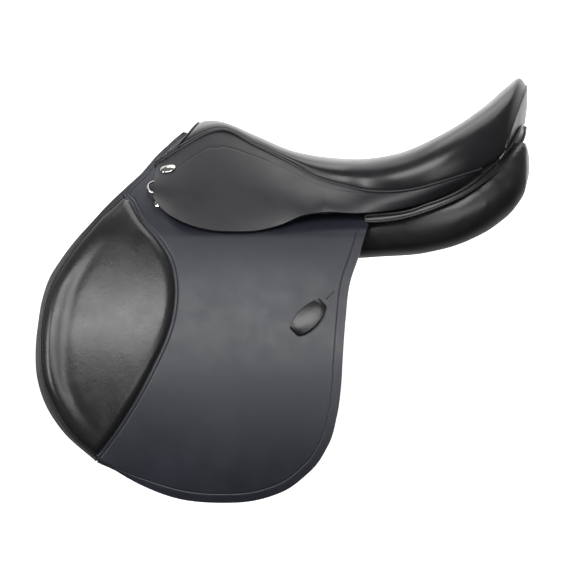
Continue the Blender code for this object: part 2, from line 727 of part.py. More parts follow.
def build_dee(name, side):
    """A D-shaped ring in a folded leather tab, and the domed nail that holds the tab's end."""
    out = face_normal(flap_y, side, DEE_X, DEE_Z)
    centre = on_flap(side, DEE_X, DEE_Z) + out * (FLAP_LEATHER / 2 + 3.6)
    forward = (Vector((-1, 0, 0)) + out * out.x).normalized()
    along = out.cross(forward)

    def dee_path(v):
        """Half way round the bow, then back down the straight bar."""
        if v < 0.5:
            turn = math.pi * (v * 2 - 0.5)
            return centre + DEE_HALF_LENGTH * math.sin(turn) * along + DEE_REACH * math.cos(turn) * forward
        return centre + DEE_HALF_LENGTH * (3 - 4 * v) * along

    bm = bmesh.new()
    steps = 28
    rings = []
    for i in range(steps):
        here = dee_path(i / steps)
        ahead = (dee_path((i + 1) / steps % 1) - dee_path((i - 1) / steps % 1)).normalized()
        side_way = ahead.cross(out).normalized()
        made = bmesh.ops.create_circle(bm, segments=8, radius=DEE_WIRE)["verts"]
        for vert in made:
            vert.co = here + side_way * vert.co.x + out * vert.co.y
        rings.append([edge for edge in bm.edges if edge.verts[0] in made and edge.verts[1] in made])
    for i in range(steps):
        bmesh.ops.bridge_loops(bm, edges=rings[i] + rings[(i + 1) % steps])
    place(bm, f"dee_{name}", "nickel", centre)

    inner = DEE_WIRE + 0.5

    def tab(u, v):
        """Round the wire in front, then back along the flap as two layers that end together."""
        run = 2 * v - 1
        bend = min(abs(run) / 0.35, 1.0)
        back = max(abs(run) - 0.35, 0.0) / 0.65 * 20
        angle = math.copysign(bend * math.pi / 2, run)
        rise = (inner + 0.75) * math.sin(angle)
        reach = (inner + 0.75) * math.cos(angle) - back
        return centre + out * rise + forward * reach + along * (u - 0.5) * 11

    sheet(f"dee_tab_{name}", "bridle_leather", 2, 16, tab, 1.3)

    bm = bmesh.new()
    nail = on_flap(side, -207.5, 64.5)
    outward = face_normal(flap_y, side, -207.5, 64.5)
    cylinder(bm, nail + outward * (FLAP_LEATHER / 2 + GAP + 1.0), outward, 5, 1.8, 12, radius_end=3)
    place(bm, f"dee_nail_{name}", "nickel")


clear_scene()
build_tree()
build_seat()
build_linings()
for side_name, side_sign in SIDES.items():
    build_skirt(side_name, side_sign)
    build_flap(side_name, side_sign)
    build_sweat_flap(side_name, side_sign)
    build_straps(side_name, side_sign)
    build_panels(side_name, side_sign)
    build_stirrup_bar(side_name, side_sign)
    build_dee(side_name, side_sign)
print(len([obj for obj in bpy.data.objects if not obj.hide_render]), "pieces")
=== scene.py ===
# %% [markdown]
# # An English jumping saddle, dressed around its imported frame
# The frame already holds every piece of the saddle at its real size and in its real place, as plain
# solids. This lesson gives each of them the shape and the finish of the real thing: leather cut from a
# flat pattern and bent over the tree, stuffed panels, cords, stitches and small metal fittings.
# Nothing here changes a dimension. The saddle's own curves are written once, in millimetres, and every
# piece is drawn on them, so that layers that lie on each other in the workshop lie on each other here.

import math

import bmesh
import bpy
import numpy as np
from mathutils import Matrix, Vector, noise


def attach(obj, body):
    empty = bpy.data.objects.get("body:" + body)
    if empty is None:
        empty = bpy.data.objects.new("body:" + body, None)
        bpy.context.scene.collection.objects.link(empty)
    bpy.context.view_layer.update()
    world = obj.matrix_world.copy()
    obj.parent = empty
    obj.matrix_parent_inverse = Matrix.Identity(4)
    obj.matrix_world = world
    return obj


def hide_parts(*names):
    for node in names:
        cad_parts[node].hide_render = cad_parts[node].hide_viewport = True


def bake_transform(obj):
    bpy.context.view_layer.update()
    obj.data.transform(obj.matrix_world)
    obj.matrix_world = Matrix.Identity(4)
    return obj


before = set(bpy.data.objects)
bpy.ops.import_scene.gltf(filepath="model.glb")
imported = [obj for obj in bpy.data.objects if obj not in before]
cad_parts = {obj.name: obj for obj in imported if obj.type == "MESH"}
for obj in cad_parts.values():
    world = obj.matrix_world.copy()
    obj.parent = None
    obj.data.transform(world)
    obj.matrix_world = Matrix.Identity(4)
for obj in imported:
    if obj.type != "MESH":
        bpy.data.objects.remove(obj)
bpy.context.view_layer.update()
MM = 0.001
SIDES = {"L": -1, "R": 1}

# %% [markdown]
# ## Smooth lines through a few points
# A saddler works from paper patterns, whose edges are long smooth curves through a few marked points.
# A function that gives any point of such a curve is easier to reuse than a drawn curve object: an
# edge, a cord along the edge and a row of stitches beside it can all ask the same function.

# %% Curves
def through(stations):
    """A smooth function through rows of (t, value, ...): it gives the values at any t."""
    table = np.array(stations, float)
    ts, values = table[:, 0], table[:, 1:]
    slopes = np.gradient(values, ts, axis=0)

    def at(t):
        i = int(np.clip(np.searchsorted(ts, t) - 1, 0, len(ts) - 2))
        step = ts[i + 1] - ts[i]
        s = min(max((t - ts[i]) / step, 0.0), 1.0)
        start, end = (1 + 2 * s) * (1 - s) ** 2, s * s * (3 - 2 * s)
        leave, arrive = s * (1 - s) ** 2 * step, s * s * (s - 1) * step
        return start * values[i] + end * values[i + 1] + leave * slopes[i] + arrive * slopes[i + 1]

    return at


def route(points):
    """A smooth curve through points, as a function of the part of its length, 0 to 1."""
    table = np.array(points, float)
    lengths = np.r_[0, np.cumsum(np.linalg.norm(np.diff(table, axis=0), axis=1))]
    return through(np.c_[lengths / lengths[-1], table])


def ease(t):
    """A smooth step from 0 to 1, which stays at 0 before t = 0 and at 1 after t = 1."""
    t = min(max(t, 0.0), 1.0)
    return t * t * (3 - 2 * t)


def groove(distance, width):
    """How much of a groove's depth is reached at this distance from its middle."""
    return math.exp(-((distance / width) ** 2))


print("a smooth step is at", ease(0.25), "after a quarter of the way")

# %% [markdown]
# ## The two surfaces of the saddle
# Everything hangs on two surfaces. The flaps, sweat flaps, straps and pads follow the horse's side, a
# wide shallow curve that gives a half width for each place. The seat is a row of cross sections from
# the pommel to the cantle. They are the frame's own surfaces, so the new pieces fit it.

# %% The side of the saddle
FLAP_LEATHER = 4.5
SKIRT_LEATHER = 4.0
STRAP_LEATHER = 3.5
COVER_LEATHER = 3.0
STRAP_DEPTH = 14.0
SWEAT_FLAP_DEPTH = 27.0


def flap_y(x, z):
    """Half width of the saddle at the middle of the flap's leather."""
    y = 192 - 55 * ((z + 190) / 217) ** 2
    if z > 27:
        forward = min(max((-60 - x) / 130, 0.0), 1.0)
        y -= 20 * forward * ((z - 27) / 86) ** 1.5
        y -= 20 * ease((z - 27) / 40) * ease((x + 200) / 35)
    return y


def on_flap(side, x, z, lift=0.0):
    """A point of the flap's middle, or outside it by lift."""
    return Vector((x, side * (flap_y(x, z) + lift), z))


def facing(width, side, x, z):
    """Which way a surface faces, where width(x, z) is its distance from the mid-plane."""
    step = 0.5
    along = Vector((2 * step, side * (width(x + step, z) - width(x - step, z)), 0))
    up = Vector((0, side * (width(x, z + step) - width(x, z - step)), 2 * step))
    return (along.cross(up) * -side).normalized()


print("half width at the foot of the flap:", round(flap_y(-120, -267)), "mm")

# %% The seat
seat_station = through(
    (
        (0.00, -172, 158, -213, 73, 112, 0.45, 3, 16, 28),
        (0.06, -161, 165, -188, 67, 129, 0.50, 4, 16, 14),
        (0.13, -141, 165, -145, 57, 152, 0.50, 3, 8, 0),
        (0.24, -96, 147, -96, 66, 133, 0.50, 4, 9, 0),
        (0.33, -61, 132, -61, 72, 115, 0.50, 5, 12, 0),
        (0.42, -26, 124, -26, 86, 96, 0.50, 7, 21, 0),
        (0.49, 3, 121, 3, 101, 87, 0.50, 9, 28, 0),
        (0.55, 27, 120, 27, 117, 81, 0.50, 10, 38, 0),
        (0.61, 52, 122, 52, 128, 79, 0.50, 12, 48, 0),
        (0.67, 76, 127, 76, 134, 81, 0.50, 12, 57, 0),
        (0.75, 110, 142, 107, 136, 89, 0.50, 12, 66, 0),
        (0.82, 140, 160, 135, 129, 98, 0.50, 11, 72, 0),
        (0.89, 172, 185, 158, 118, 106, 0.50, 8, 72, 2),
        (0.935, 196, 206, 174, 108, 116, 0.50, 5, 62, 3),
        (0.968, 210, 216, 181, 103, 122, 0.48, 3, 46, 4),
        (1.00, 218, 208, 185, 100, 126, 0.45, 1, 28, 5),
    )
)


def seat_point(u, v, depth=0.0):
    """A point of the seat's outer face, u along it and v across from -1 to 1, or below it by depth."""

    def face(u, v):
        mid_x, mid_z, side_x, side_y, side_z, shoulder, bulge, rise, lead = seat_station(u)
        t, side = abs(v), math.copysign(1, v)
        middle = Vector((mid_x, 0, mid_z))
        first = Vector((mid_x, side_y * shoulder, mid_z))
        second = Vector((side_x + lead, side_y + bulge, side_z + rise))
        edge = Vector((side_x, side_y, side_z))
        weights = ((1 - t) ** 3, 3 * t * (1 - t) ** 2, 3 * t * t * (1 - t), t**3)
        point = sum((w * p for w, p in zip(weights, (middle, first, second, edge))), Vector())
        return Vector((point.x, side * point.y, point.z))

    point = face(u, v)
    if depth:
        along = face(min(u + 0.004, 1), v) - face(max(u - 0.004, 0), v)
        across = face(u, min(v + 0.01, 1)) - face(u, max(v - 0.01, -1))
        point -= depth * along.cross(across).normalized()
    return point


print("height of the cantle over the pommel:", round(seat_point(1, 0).z - seat_point(0.06, 0).z), "mm")

# %% The skirt
WELT = (
    (-211, 73, 113), (-179, 66, 134), (-145, 57, 152), (-96, 66, 133), (-61, 72, 115),
    (-26, 86, 96), (3, 101, 87), (24, 115, 82), (47, 126, 79), (70, 133, 80), (106, 136, 89),
    (137, 129, 98), (157, 118, 105),
)
SKIRT_EDGE = (
    (-213, 118, 72), (-202, 124, 57.5), (-181.5, 134, 45), (-153, 141, 36), (-123, 143, 33.5),
    (-95, 141.5, 34.6), (-69, 138, 41), (-43, 136, 52), (-20, 134, 55), (18, 132, 54),
    (47, 132, 56), (76, 133, 61), (107, 129, 71), (138, 121, 87), (158, 114, 103),
)
SKIRT_HINGE_FRONT = Vector((-215.0, 108.0, 88.0))
SKIRT_HINGE_REAR = Vector((-20.0, 133.0, 58.0))
welt = through([(x, y, z) for x, y, z in WELT])
skirt_edge = through([(x, y, z) for x, y, z in SKIRT_EDGE])


def skirt_y(x, z):
    """Half width at the skirt's outer face: from the welt, through the lobe's hinge, to the edge."""
    top_y, top_z = welt(x)
    low_y, low_z = skirt_edge(x)
    front, rear = SKIRT_HINGE_FRONT, SKIRT_HINGE_REAR
    along = min(max((x - front.x) / (rear.x - front.x), 0.0), 1.0)
    mid_y = front.y + along * (rear.y - front.y)
    mid_z = front.z + along * (rear.z - front.z)
    if x > rear.x:
        behind = ease((x - rear.x) / 60)
        mid_z += behind * ((top_z + low_z) / 2 - mid_z)
        mid_y += behind * ((top_y + low_y) / 2 + 3 - mid_y)
    knots = ((top_z, top_y), (mid_z, mid_y), (low_z, low_y))
    total = 0.0
    for i, (zi, yi) in enumerate(knots):
        weight = yi
        for j, (zj, _) in enumerate(knots):
            if i != j:
                weight *= (z - zj) / (zi - zj)
        total += weight
    return total


print("half width at the skirt's lowest point:", round(skirt_y(-123, 33.5)), "mm")

# %% [markdown]
# ## Leather
# All the leather here is black, and what tells one kind from another is its surface. Bridle leather is
# waxed and hard: it shines softly over a wide area and shows the fibres' faint cloudiness. Calf is
# thin and glazed: its shine is sharper, and it has fine pores and small creases where it is stretched.
# One function makes every kind, from layered noise in the piece's own coordinates. That costs no
# texture maps, and it has no seams where two pieces meet.

# %% Leather material
def node_maker(owner, shader="Principled BSDF"):
    """A function that adds a node and sets its sockets and settings, one that joins sockets, and the
    shader. The owner is a material or a world."""
    owner.use_nodes = True
    tree = owner.node_tree

    def add(kind, settings=None, **sockets):
        node = tree.nodes.new(kind)
        for key, value in (settings or {}).items():
            setattr(node, key, value)
        for key, value in sockets.items():
            node.inputs[key.replace("_", " ")].default_value = value
        return node

    def join(source, socket, target, name):
        tree.links.new(source.outputs[socket], target.inputs[name])

    return add, join, tree.nodes[shader]


def ramp_colours(ramp, low, high, start=0.3, end=0.7):
    first, last = ramp.color_ramp.elements
    first.position, last.position = start, end
    first.color, last.color = (*low, 1), (*high, 1)


def leather_material(name, dark, light, shine, pore_size, pore_depth, crease_depth, sheen=0.0):
    """dark and light are its colours, shine its least and most roughness; sizes and depths are in mm."""
    material = bpy.data.materials.new(name)
    add, join, shader = node_maker(material)
    place = add("ShaderNodeTexCoord")
    cloud = add("ShaderNodeTexNoise", Scale=11.0, Detail=5.0, Roughness=0.55)
    join(place, "Object", cloud, "Vector")
    colour = add("ShaderNodeValToRGB")
    ramp_colours(colour, dark, light)
    join(cloud, "Fac", colour, "Fac")
    join(colour, "Color", shader, "Base Color")
    rubbed = add("ShaderNodeTexNoise", Scale=45.0, Detail=6.0, Roughness=0.6)
    join(place, "Object", rubbed, "Vector")
    spread = add("ShaderNodeMapRange", From_Min=0.3, From_Max=0.7, To_Min=shine[0], To_Max=shine[1])
    join(rubbed, "Fac", spread, "Value")
    join(spread, "Result", shader, "Roughness")
    pores = add("ShaderNodeTexVoronoi", {"feature": "SMOOTH_F1"}, Scale=1 / (pore_size * MM))
    pores.inputs["Smoothness"].default_value = 0.6
    join(place, "Object", pores, "Vector")
    creases = add("ShaderNodeTexNoise", Scale=140.0, Detail=7.0, Roughness=0.62, Distortion=0.8)
    join(place, "Object", creases, "Vector")
    crease_bump = add("ShaderNodeBump", Strength=1.0, Distance=crease_depth * MM)
    join(creases, "Fac", crease_bump, "Height")
    pore_bump = add("ShaderNodeBump", Strength=1.0, Distance=pore_depth * MM)
    join(pores, "Distance", pore_bump, "Height")
    join(crease_bump, "Normal", pore_bump, "Normal")
    join(pore_bump, "Normal", shader, "Normal")
    shader.inputs["IOR"].default_value = 1.5
    shader.inputs["Sheen Weight"].default_value = sheen
    shader.inputs["Sheen Roughness"].default_value = 0.45
    shader.inputs["Sheen Tint"].default_value = (0.75, 0.82, 1.0, 1.0)
    return material


flap_hide = leather_material(
    "flap_hide", (0.010, 0.012, 0.017), (0.016, 0.018, 0.027), (0.40, 0.49), 0.7, 0.020, 0.05, 0.05)
skirt_hide = leather_material(
    "skirt_hide", (0.009, 0.008, 0.010), (0.015, 0.013, 0.016), (0.42, 0.52), 0.7, 0.020, 0.05, 0.04)
seat_hide = leather_material(
    "seat_hide", (0.007, 0.007, 0.008), (0.012, 0.012, 0.014), (0.27, 0.35), 0.6, 0.018, 0.04)
pad_hide = leather_material(
    "pad_hide", (0.011, 0.011, 0.012), (0.019, 0.019, 0.020), (0.25, 0.34), 0.9, 0.050, 0.16)
panel_hide = leather_material(
    "panel_hide", (0.015, 0.014, 0.014), (0.023, 0.022, 0.022), (0.27, 0.35), 0.7, 0.020, 0.05)
strap_hide = leather_material(
    "strap_hide", (0.012, 0.012, 0.013), (0.020, 0.019, 0.021), (0.45, 0.58), 0.8, 0.040, 0.08)
# The cut edges' dye is lighter than the faces: partly the dye's own tone, partly a painted highlight on the
# rounded edge.
edge_dye = leather_material(
    "edge_dye", (0.020, 0.020, 0.021), (0.036, 0.036, 0.037), (0.28, 0.40), 0.4, 0.030, 0.08)
print("leathers:", len([m for m in bpy.data.materials if m.name.endswith(("hide", "dye"))]))

# %% [markdown]
# ## Metal, thread, wood and webbing
# The small fittings are nickel-plated brass, so bright that they are seen mostly by what they reflect.
# Fine scratches in the roughness keep them from looking like mirrors. The thread is waxed linen, and
# its twist is a slanted band pattern. Under the leather are laminated beech, spring steel, latex foam
# and woven webbing, seen only from below, and each gets its own pattern too.

# %% The other materials
def patterned_material(name, low, high, shine, metallic, depth, pattern, stretch=(1, 1, 1), **sockets):
    """A material whose colour, roughness and height all come from one stretched pattern."""
    material = bpy.data.materials.new(name)
    add, join, shader = node_maker(material)
    place = add("ShaderNodeTexCoord")
    stretched = add("ShaderNodeMapping", Scale=stretch)
    join(place, "Object", stretched, "Vector")
    made = add(pattern, **sockets)
    join(stretched, "Vector", made, "Vector")
    out = "Distance" if pattern == "ShaderNodeTexVoronoi" else "Fac"
    colour = add("ShaderNodeValToRGB")
    ramp_colours(colour, low, high, 0.25, 0.75)
    join(made, out, colour, "Fac")
    join(colour, "Color", shader, "Base Color")
    spread = add("ShaderNodeMapRange", To_Min=shine[0], To_Max=shine[1])
    join(made, out, spread, "Value")
    join(spread, "Result", shader, "Roughness")
    bump = add("ShaderNodeBump", Strength=1.0, Distance=depth * MM)
    join(made, out, bump, "Height")
    join(bump, "Normal", shader, "Normal")
    shader.inputs["Metallic"].default_value = metallic
    return material


NOISE, WAVE, VORONOI = "ShaderNodeTexNoise", "ShaderNodeTexWave", "ShaderNodeTexVoronoi"
nickel = patterned_material(
    "nickel_plate", (0.62, 0.61, 0.59), (0.78, 0.77, 0.75), (0.10, 0.24), 1.0, 0.004, NOISE,
    (1, 1, 6), Scale=260.0, Detail=6.0)
steel = patterned_material(
    "spring_steel", (0.24, 0.24, 0.25), (0.42, 0.42, 0.43), (0.28, 0.5), 1.0, 0.01, NOISE,
    (6, 1, 1), Scale=180.0, Detail=6.0)
thread = patterned_material(
    "waxed_thread", (0.006, 0.006, 0.007), (0.03, 0.03, 0.032), (0.5, 0.7), 0.0, 0.06, WAVE,
    (1, 1, 1), Scale=900.0, Distortion=1.5)
beech = patterned_material(
    "laminated_beech", (0.34, 0.21, 0.11), (0.55, 0.38, 0.22), (0.45, 0.6), 0.0, 0.05, NOISE,
    (1, 9, 14), Scale=22.0, Detail=8.0)
latex = patterned_material(
    "latex_foam", (0.62, 0.58, 0.45), (0.80, 0.77, 0.66), (0.8, 0.95), 0.0, 0.4, VORONOI,
    (1, 1, 1), Scale=700.0)
canvas = patterned_material(
    "lining_canvas", (0.012, 0.012, 0.013), (0.04, 0.04, 0.042), (0.75, 0.9), 0.0, 0.2, WAVE,
    (1, 1, 1), Scale=260.0, Distortion=0.6)


def woven_material(name, low, high):
    """Two sets of bands at right angles, so that each thread goes over and under."""
    material = bpy.data.materials.new(name)
    add, join, shader = node_maker(material)
    place = add("ShaderNodeTexCoord")
    warp = add(WAVE, {"bands_direction": "X"}, Scale=230.0)
    weft = add(WAVE, {"bands_direction": "Y"}, Scale=230.0)
    for bands in (warp, weft):
        join(place, "Object", bands, "Vector")
    crossed = add("ShaderNodeMath", {"operation": "MULTIPLY"})
    join(warp, "Fac", crossed, 0)
    join(weft, "Fac", crossed, 1)
    colour = add("ShaderNodeValToRGB")
    ramp_colours(colour, low, high, 0.05, 0.8)
    join(crossed, "Value", colour, "Fac")
    join(colour, "Color", shader, "Base Color")
    bump = add("ShaderNodeBump", Strength=1.0, Distance=0.3 * MM)
    join(crossed, "Value", bump, "Height")
    join(bump, "Normal", shader, "Normal")
    shader.inputs["Roughness"].default_value = 0.85
    return material


webbing = woven_material("linen_webbing", (0.28, 0.24, 0.17), (0.60, 0.55, 0.43))
print("materials:", len(bpy.data.materials))

# %% [markdown]
# ## From a flat net to a finished piece
# A net of quads is the digital form of a cut piece of leather: its columns and rows can be spaced so
# that they lie close together at an edge or a crease, where the shape changes quickly. The steps after
# that are always the same: weld, make the faces look outwards, give it its thickness, and round the cut
# edge as a saddler does with a beveller and dye; that dye is lighter than the faces, so it also paints
# the edge's highlight. They are done by modifiers, whose result is then kept.

# %% Making pieces
WELD = 1e-4


def net(columns, rows, point):
    """A grid with point(u, v) at its vertices, u and v from 0 to 1."""
    bm = bmesh.new()
    bmesh.ops.create_grid(bm, x_segments=columns, y_segments=rows, size=0.5)
    for vert in bm.verts:
        vert.co = point(vert.co.x + 0.5, vert.co.y + 0.5)
    return bm


def make_piece(bm, name, finish, outwards=None):
    """The object of a mesh that is in millimetres. outwards tells an open sheet which way to face."""
    bmesh.ops.remove_doubles(bm, verts=bm.verts, dist=WELD)
    bmesh.ops.dissolve_degenerate(bm, edges=bm.edges, dist=WELD)
    bmesh.ops.recalc_face_normals(bm, faces=bm.faces)
    if outwards is not None:
        lean = sum(face.calc_area() * face.normal.dot(Vector(outwards)) for face in bm.faces)
        if lean < 0:
            bmesh.ops.reverse_faces(bm, faces=bm.faces)
    bmesh.ops.transform(bm, matrix=Matrix.Scale(MM, 4), verts=bm.verts)
    mesh = bpy.data.meshes.new(name)
    bm.to_mesh(mesh)
    bm.free()
    mesh.shade_smooth()
    mesh.materials.append(finish)
    piece = bpy.data.objects.new(name, mesh)
    bpy.context.scene.collection.objects.link(piece)
    return piece


def settle(piece):
    """Keeps what the modifiers show as the piece's own mesh."""
    bpy.context.view_layer.update()
    graph = bpy.context.evaluated_depsgraph_get()
    mesh = bpy.data.meshes.new_from_object(piece.evaluated_get(graph))
    piece.modifiers.clear()
    piece.data = mesh
    return piece


def thicken(piece, thickness, offset=-1.0, round_edge=0.9):
    """Thickness in mm, and a cut edge that is rounded and dyed, in a lighter tone that also paints its
    highlight.
    """
    piece.data.materials.append(edge_dye)
    solidify = piece.modifiers.new("Thickness", "SOLIDIFY")
    solidify.thickness = thickness * MM
    solidify.offset = offset
    # The rim faces take the lighter edge dye, which paints their highlight.
    solidify.material_offset_rim = 1
    if round_edge:
        bevel = piece.modifiers.new("Rounded edge", "BEVEL")
        bevel.width = round_edge * MM
        bevel.segments = 3
        bevel.limit_method = "ANGLE"
        bevel.angle_limit = math.radians(50)
    return settle(piece)


def closed_net(name, finish, around, along, point):
    """A closed form: point(u, v) goes round it with u and along it with v."""
    bm = net(around, along, point)
    bmesh.ops.remove_doubles(bm, verts=bm.verts, dist=WELD)
    bmesh.ops.holes_fill(bm, edges=[edge for edge in bm.edges if edge.is_boundary], sides=0)
    return make_piece(bm, name, finish)


def oval(u, half_width, half_height, squareness=1.0):
    """A point of an oval, or with a squareness below 1 of a rounded rectangle."""
    angle = 2 * math.pi * u
    across, up = math.cos(angle), math.sin(angle)
    return (
        half_width * math.copysign(abs(across) ** squareness, across),
        half_height * math.copysign(abs(up) ** squareness, up),
    )


def heading(path, v, step):
    """The way a path runs at v, from a step before it to a step after it."""
    return Vector(path(min(v + step, 1))) - Vector(path(max(v - step, 0)))


def cord_along(name, finish, path, radius, along=160, around=10):
    """A round cord along path(v), with radius(v) in mm, and rounded ends."""
    almost_up = Vector((0.05, 0.1, 1))

    def point(u, v):
        here = Vector(path(v))
        ahead = heading(path, v, 0.005)
        across = ahead.cross(almost_up).normalized()
        rise = across.cross(ahead).normalized()
        end = min(v, 1 - v) * along
        taper = math.sqrt(min(1.0, 0.15 + end / 2))
        a, b = oval(u, radius(v) * taper, radius(v) * taper)
        return here + across * a + rise * b

    return closed_net(name, finish, around, along, point)


def both_sides(build):
    """Runs build(name, side) for the left, where side is -1, and for the right, where it is 1."""
    for name, side in SIDES.items():
        build(name, side)


print("pieces are welded at", WELD, "mm")

# %% [markdown]
# ## Cutting leather between two edges
# A crease or a row of stitches runs a fixed distance from the edge, however the edge turns. So a net
# between two edges takes a list of marks: (0, mm) is that far in from the first edge, (1, mm) that far
# in from the second, and (share, 0) lies between the two bands. Where the piece runs to a point the
# marks are squeezed, so that the bands of both edges still fit.

# %% Patterns
def inward(edge, v, sign, window=0.05):
    """The direction into the leather from an edge: sign is 1 for a first edge and -1 for a second.
    The window spreads the turn at a corner, so that lines beside the edge don't cross there."""
    run = edge(min(v + window, 1)) - edge(max(v - window, 0))
    run = run / max(np.linalg.norm(run), 1e-9)
    return sign * np.array((-run[1], run[0]))


def cut_leather(first, second, marks, rows, surface, band=None):
    """A net between two edges in x and z. surface(x, z, mark, v) gives the point in space.
    band(v) scales the marks of the second edge, where they aren't in mm."""
    reach = [max(mm for share, mm in marks if share == end) for end in (0, 1)]
    lines = []
    for row in range(rows + 1):
        v = row / rows
        a, b = first(v), second(v)
        width = float(np.linalg.norm(b - a))
        across = (b - a) / width
        far = (max(reach[0], 0.1), max(reach[1] * (band(v) if band else 1), 0.1))
        free = ease(min(v, 1 - v) / 0.05)
        into_a = across + (inward(first, v, 1) - across) * free
        into_b = -across + (inward(second, v, -1) + across) * free
        into_a = into_a / np.linalg.norm(into_a) * min(1.0, 0.45 * width / far[0])
        into_b = into_b / np.linalg.norm(into_b) * min(1.0, 0.45 * width / far[1])
        into_b = into_b * (band(v) if band else 1)
        start, end = a + into_a * reach[0], b + into_b * reach[1]
        line = []
        for share, mm in marks:
            if share == 0:
                line.append(a + into_a * mm)
            elif share == 1:
                line.append(b + into_b * mm)
            else:
                line.append(start + (end - start) * share)
        lines.append(line)

    def point(u, v):
        column, row = round(u * (len(marks) - 1)), round(v * rows)
        x, z = lines[row][column]
        return surface(x, z, marks[column], v)

    return net(len(marks) - 1, rows, point)


def between_bands(count):
    """Marks for evenly spaced lines between the bands of the two edges."""
    return [((i + 1) / (count + 1), 0) for i in range(count)]


def beside(edge, sign, distance):
    """The line that runs at a distance inside an edge."""
    return lambda v: edge(v) + inward(edge, v, sign) * distance


print("three lines between two bands:", between_bands(3))

# %% [markdown]
# ## Stitches
# Saddle stitching is done by hand with two needles, so each stitch is a short, slightly slanted bead
# that pulls into the leather at both ends. There are hundreds of them, so each is a small ball of two
# dozen faces, drawn out and turned along the row.

# %% Stitch rows
def stitch_row(name, path, out, pitch=3.4, length=2.7, width=0.45, slant=0.12, sink=0.1):
    """Stitches along path(v), on a surface that faces out(v), pitch and length in mm."""
    steps = 600
    samples = [Vector(path(i / steps)) for i in range(steps + 1)]
    run = np.r_[0, np.cumsum([(b - a).length for a, b in zip(samples, samples[1:])])]
    count = int(run[-1] / pitch)
    bm = bmesh.new()
    for i in range(count):
        v = float(np.interp((i + 0.5) * pitch, run, np.linspace(0, 1, steps + 1)))
        here, away = Vector(path(v)), Vector(out(v)).normalized()
        ahead = heading(path, v, 0.004).normalized()
        sideways = away.cross(ahead).normalized()
        ahead = (ahead + sideways * slant).normalized()
        sideways = away.cross(ahead).normalized()
        turn = Matrix((sideways, ahead, away)).transposed().to_4x4()
        size = Matrix.Diagonal((width, length / 2, width, 1))
        bmesh.ops.create_uvsphere(
            bm, u_segments=6, v_segments=4, radius=1.0,
            matrix=Matrix.Translation(here - away * sink) @ turn @ size)
    piece = make_piece(bm, name, thread)
    print(name, count, "stitches")
    return piece


# %% [markdown]
# ## Stuffed pieces
# Wool flocking or foam pushes its skin outwards evenly, and the skin pulls tight between the seams.
# That is what Cloth with a pressure does. The shape is remeshed into even quads so that the skin can
# stretch the same everywhere, inflated for a moment, and held to a few millimetres of movement so
# that the piece keeps its size.

# %% Inflating a skin
CLOTH_FRAMES = 20


def inflate(piece, voxel, most_move, pressure=4.0):
    """Stuffs a closed skin: voxel and most_move in mm."""
    remesh = piece.modifiers.new("Even quads", "REMESH")
    remesh.mode = "VOXEL"
    remesh.voxel_size = voxel * MM
    remesh.use_smooth_shade = True
    settle(piece)
    rest = np.array([vert.co for vert in piece.data.vertices])
    cloth = piece.modifiers.new("Skin", "CLOTH")
    cloth.settings.quality = 6
    cloth.settings.use_pressure = True
    cloth.settings.uniform_pressure_force = pressure
    cloth.settings.effector_weights.gravity = 0
    scene = bpy.context.scene
    for number in range(1, CLOTH_FRAMES + 1):
        scene.frame_set(number)
    graph = bpy.context.evaluated_depsgraph_get()
    shown = piece.evaluated_get(graph).data
    moved = np.array([vert.co for vert in shown.vertices]) - rest
    far = np.linalg.norm(moved, axis=1, keepdims=True)
    moved *= np.minimum(1, most_move * MM / np.maximum(far, 1e-9))
    piece.modifiers.clear()
    piece.data.vertices.foreach_set("co", (rest + moved).ravel())
    piece.data.update()
    smooth = piece.modifiers.new("Even out", "SMOOTH")
    smooth.iterations = 4
    finer = piece.modifiers.new("Finer", "SUBSURF")
    finer.levels = finer.render_levels = 1
    settle(piece)
    piece.data.shade_smooth()
    scene.frame_set(1)
    print(piece.name, "inflated by up to", round(float(far.max()) / MM, 1), "mm")
    return piece


# %% [markdown]
# ## The seat
# The seat is calf stretched over foam on the tree. It is blocked wet, so it follows the cross sections
# closely and shows no seam on top. It is one net on the seat's surface, fine enough that the roll to
# the cantle and the narrow twist stay smooth, with the leather's thickness on the inside.

# %% Seat leather
seat = make_piece(
    net(120, 80, lambda u, v: seat_point(u, 2 * v - 1)), "seat_leather", seat_hide,
    outwards=(0, 0, 1))
thicken(seat, COVER_LEATHER)
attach(seat, "root")
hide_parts("seat_cover")
print("seat faces:", len(seat.data.polygons))

# %% [markdown]
# At the pommel a strip of harder leather covers the front of the seat, and a face piece closes the
# arch in front of the tree. At the cantle a curved back piece covers the tree's rear edge. A thin
# cord, covered in leather, is sewn into each of these joins.

# %% Pommel and cantle
def pommel_strip(u, v):
    across = 2 * v - 1
    return seat_point(0.004 + (0.034 + 0.012 * across**2) * u, across, -1.3 - 0.5 * math.sin(math.pi * u))


strip = make_piece(
    net(14, 90, pommel_strip), "pommel_strip", skirt_hide, outwards=(-0.5, 0, 1))
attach(thicken(strip, 1.8), "root")

arch_foot = route(
    ((-211, -66, 98), (-206, -46, 98), (-199, -30, 106), (-196, -18, 115), (-195, 0, 120),
     (-196, 18, 115), (-199, 30, 106), (-206, 46, 98), (-211, 66, 98)))


def pommel_face(u, v):
    top = seat_point(0.004, (2 * v - 1) * 0.985, 1.5)
    low = Vector(arch_foot(v))
    bulge = Vector((-5 * math.sin(math.pi * u), 0, 0))
    return top.lerp(low, u) + bulge


face_piece = make_piece(
    net(14, 70, pommel_face), "pommel_face", panel_hide, outwards=(-1, 0, 0))
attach(thicken(face_piece, 2.0), "root")


def cantle_back(u, v):
    across = 2 * v - 1
    top = seat_point(1, across, COVER_LEATHER / 2)
    low = Vector((216 - 46 * abs(across) ** 1.8, 101 * across, 164 - 59 * abs(across) ** 1.6))
    edge = (top - seat_point(0.99, across, COVER_LEATHER / 2)).normalized()
    away = Vector((1.2 * math.sin(math.pi * u), 0, 0))
    return (top + (2.7 + 2.0 * across**8) * edge).lerp(low, u) + away


back = make_piece(
    net(18, 90, cantle_back), "cantle_back", seat_hide, outwards=(1, 0, 0))
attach(thicken(back, 2.5, offset=0.0), "root")
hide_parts("cantle_facing")


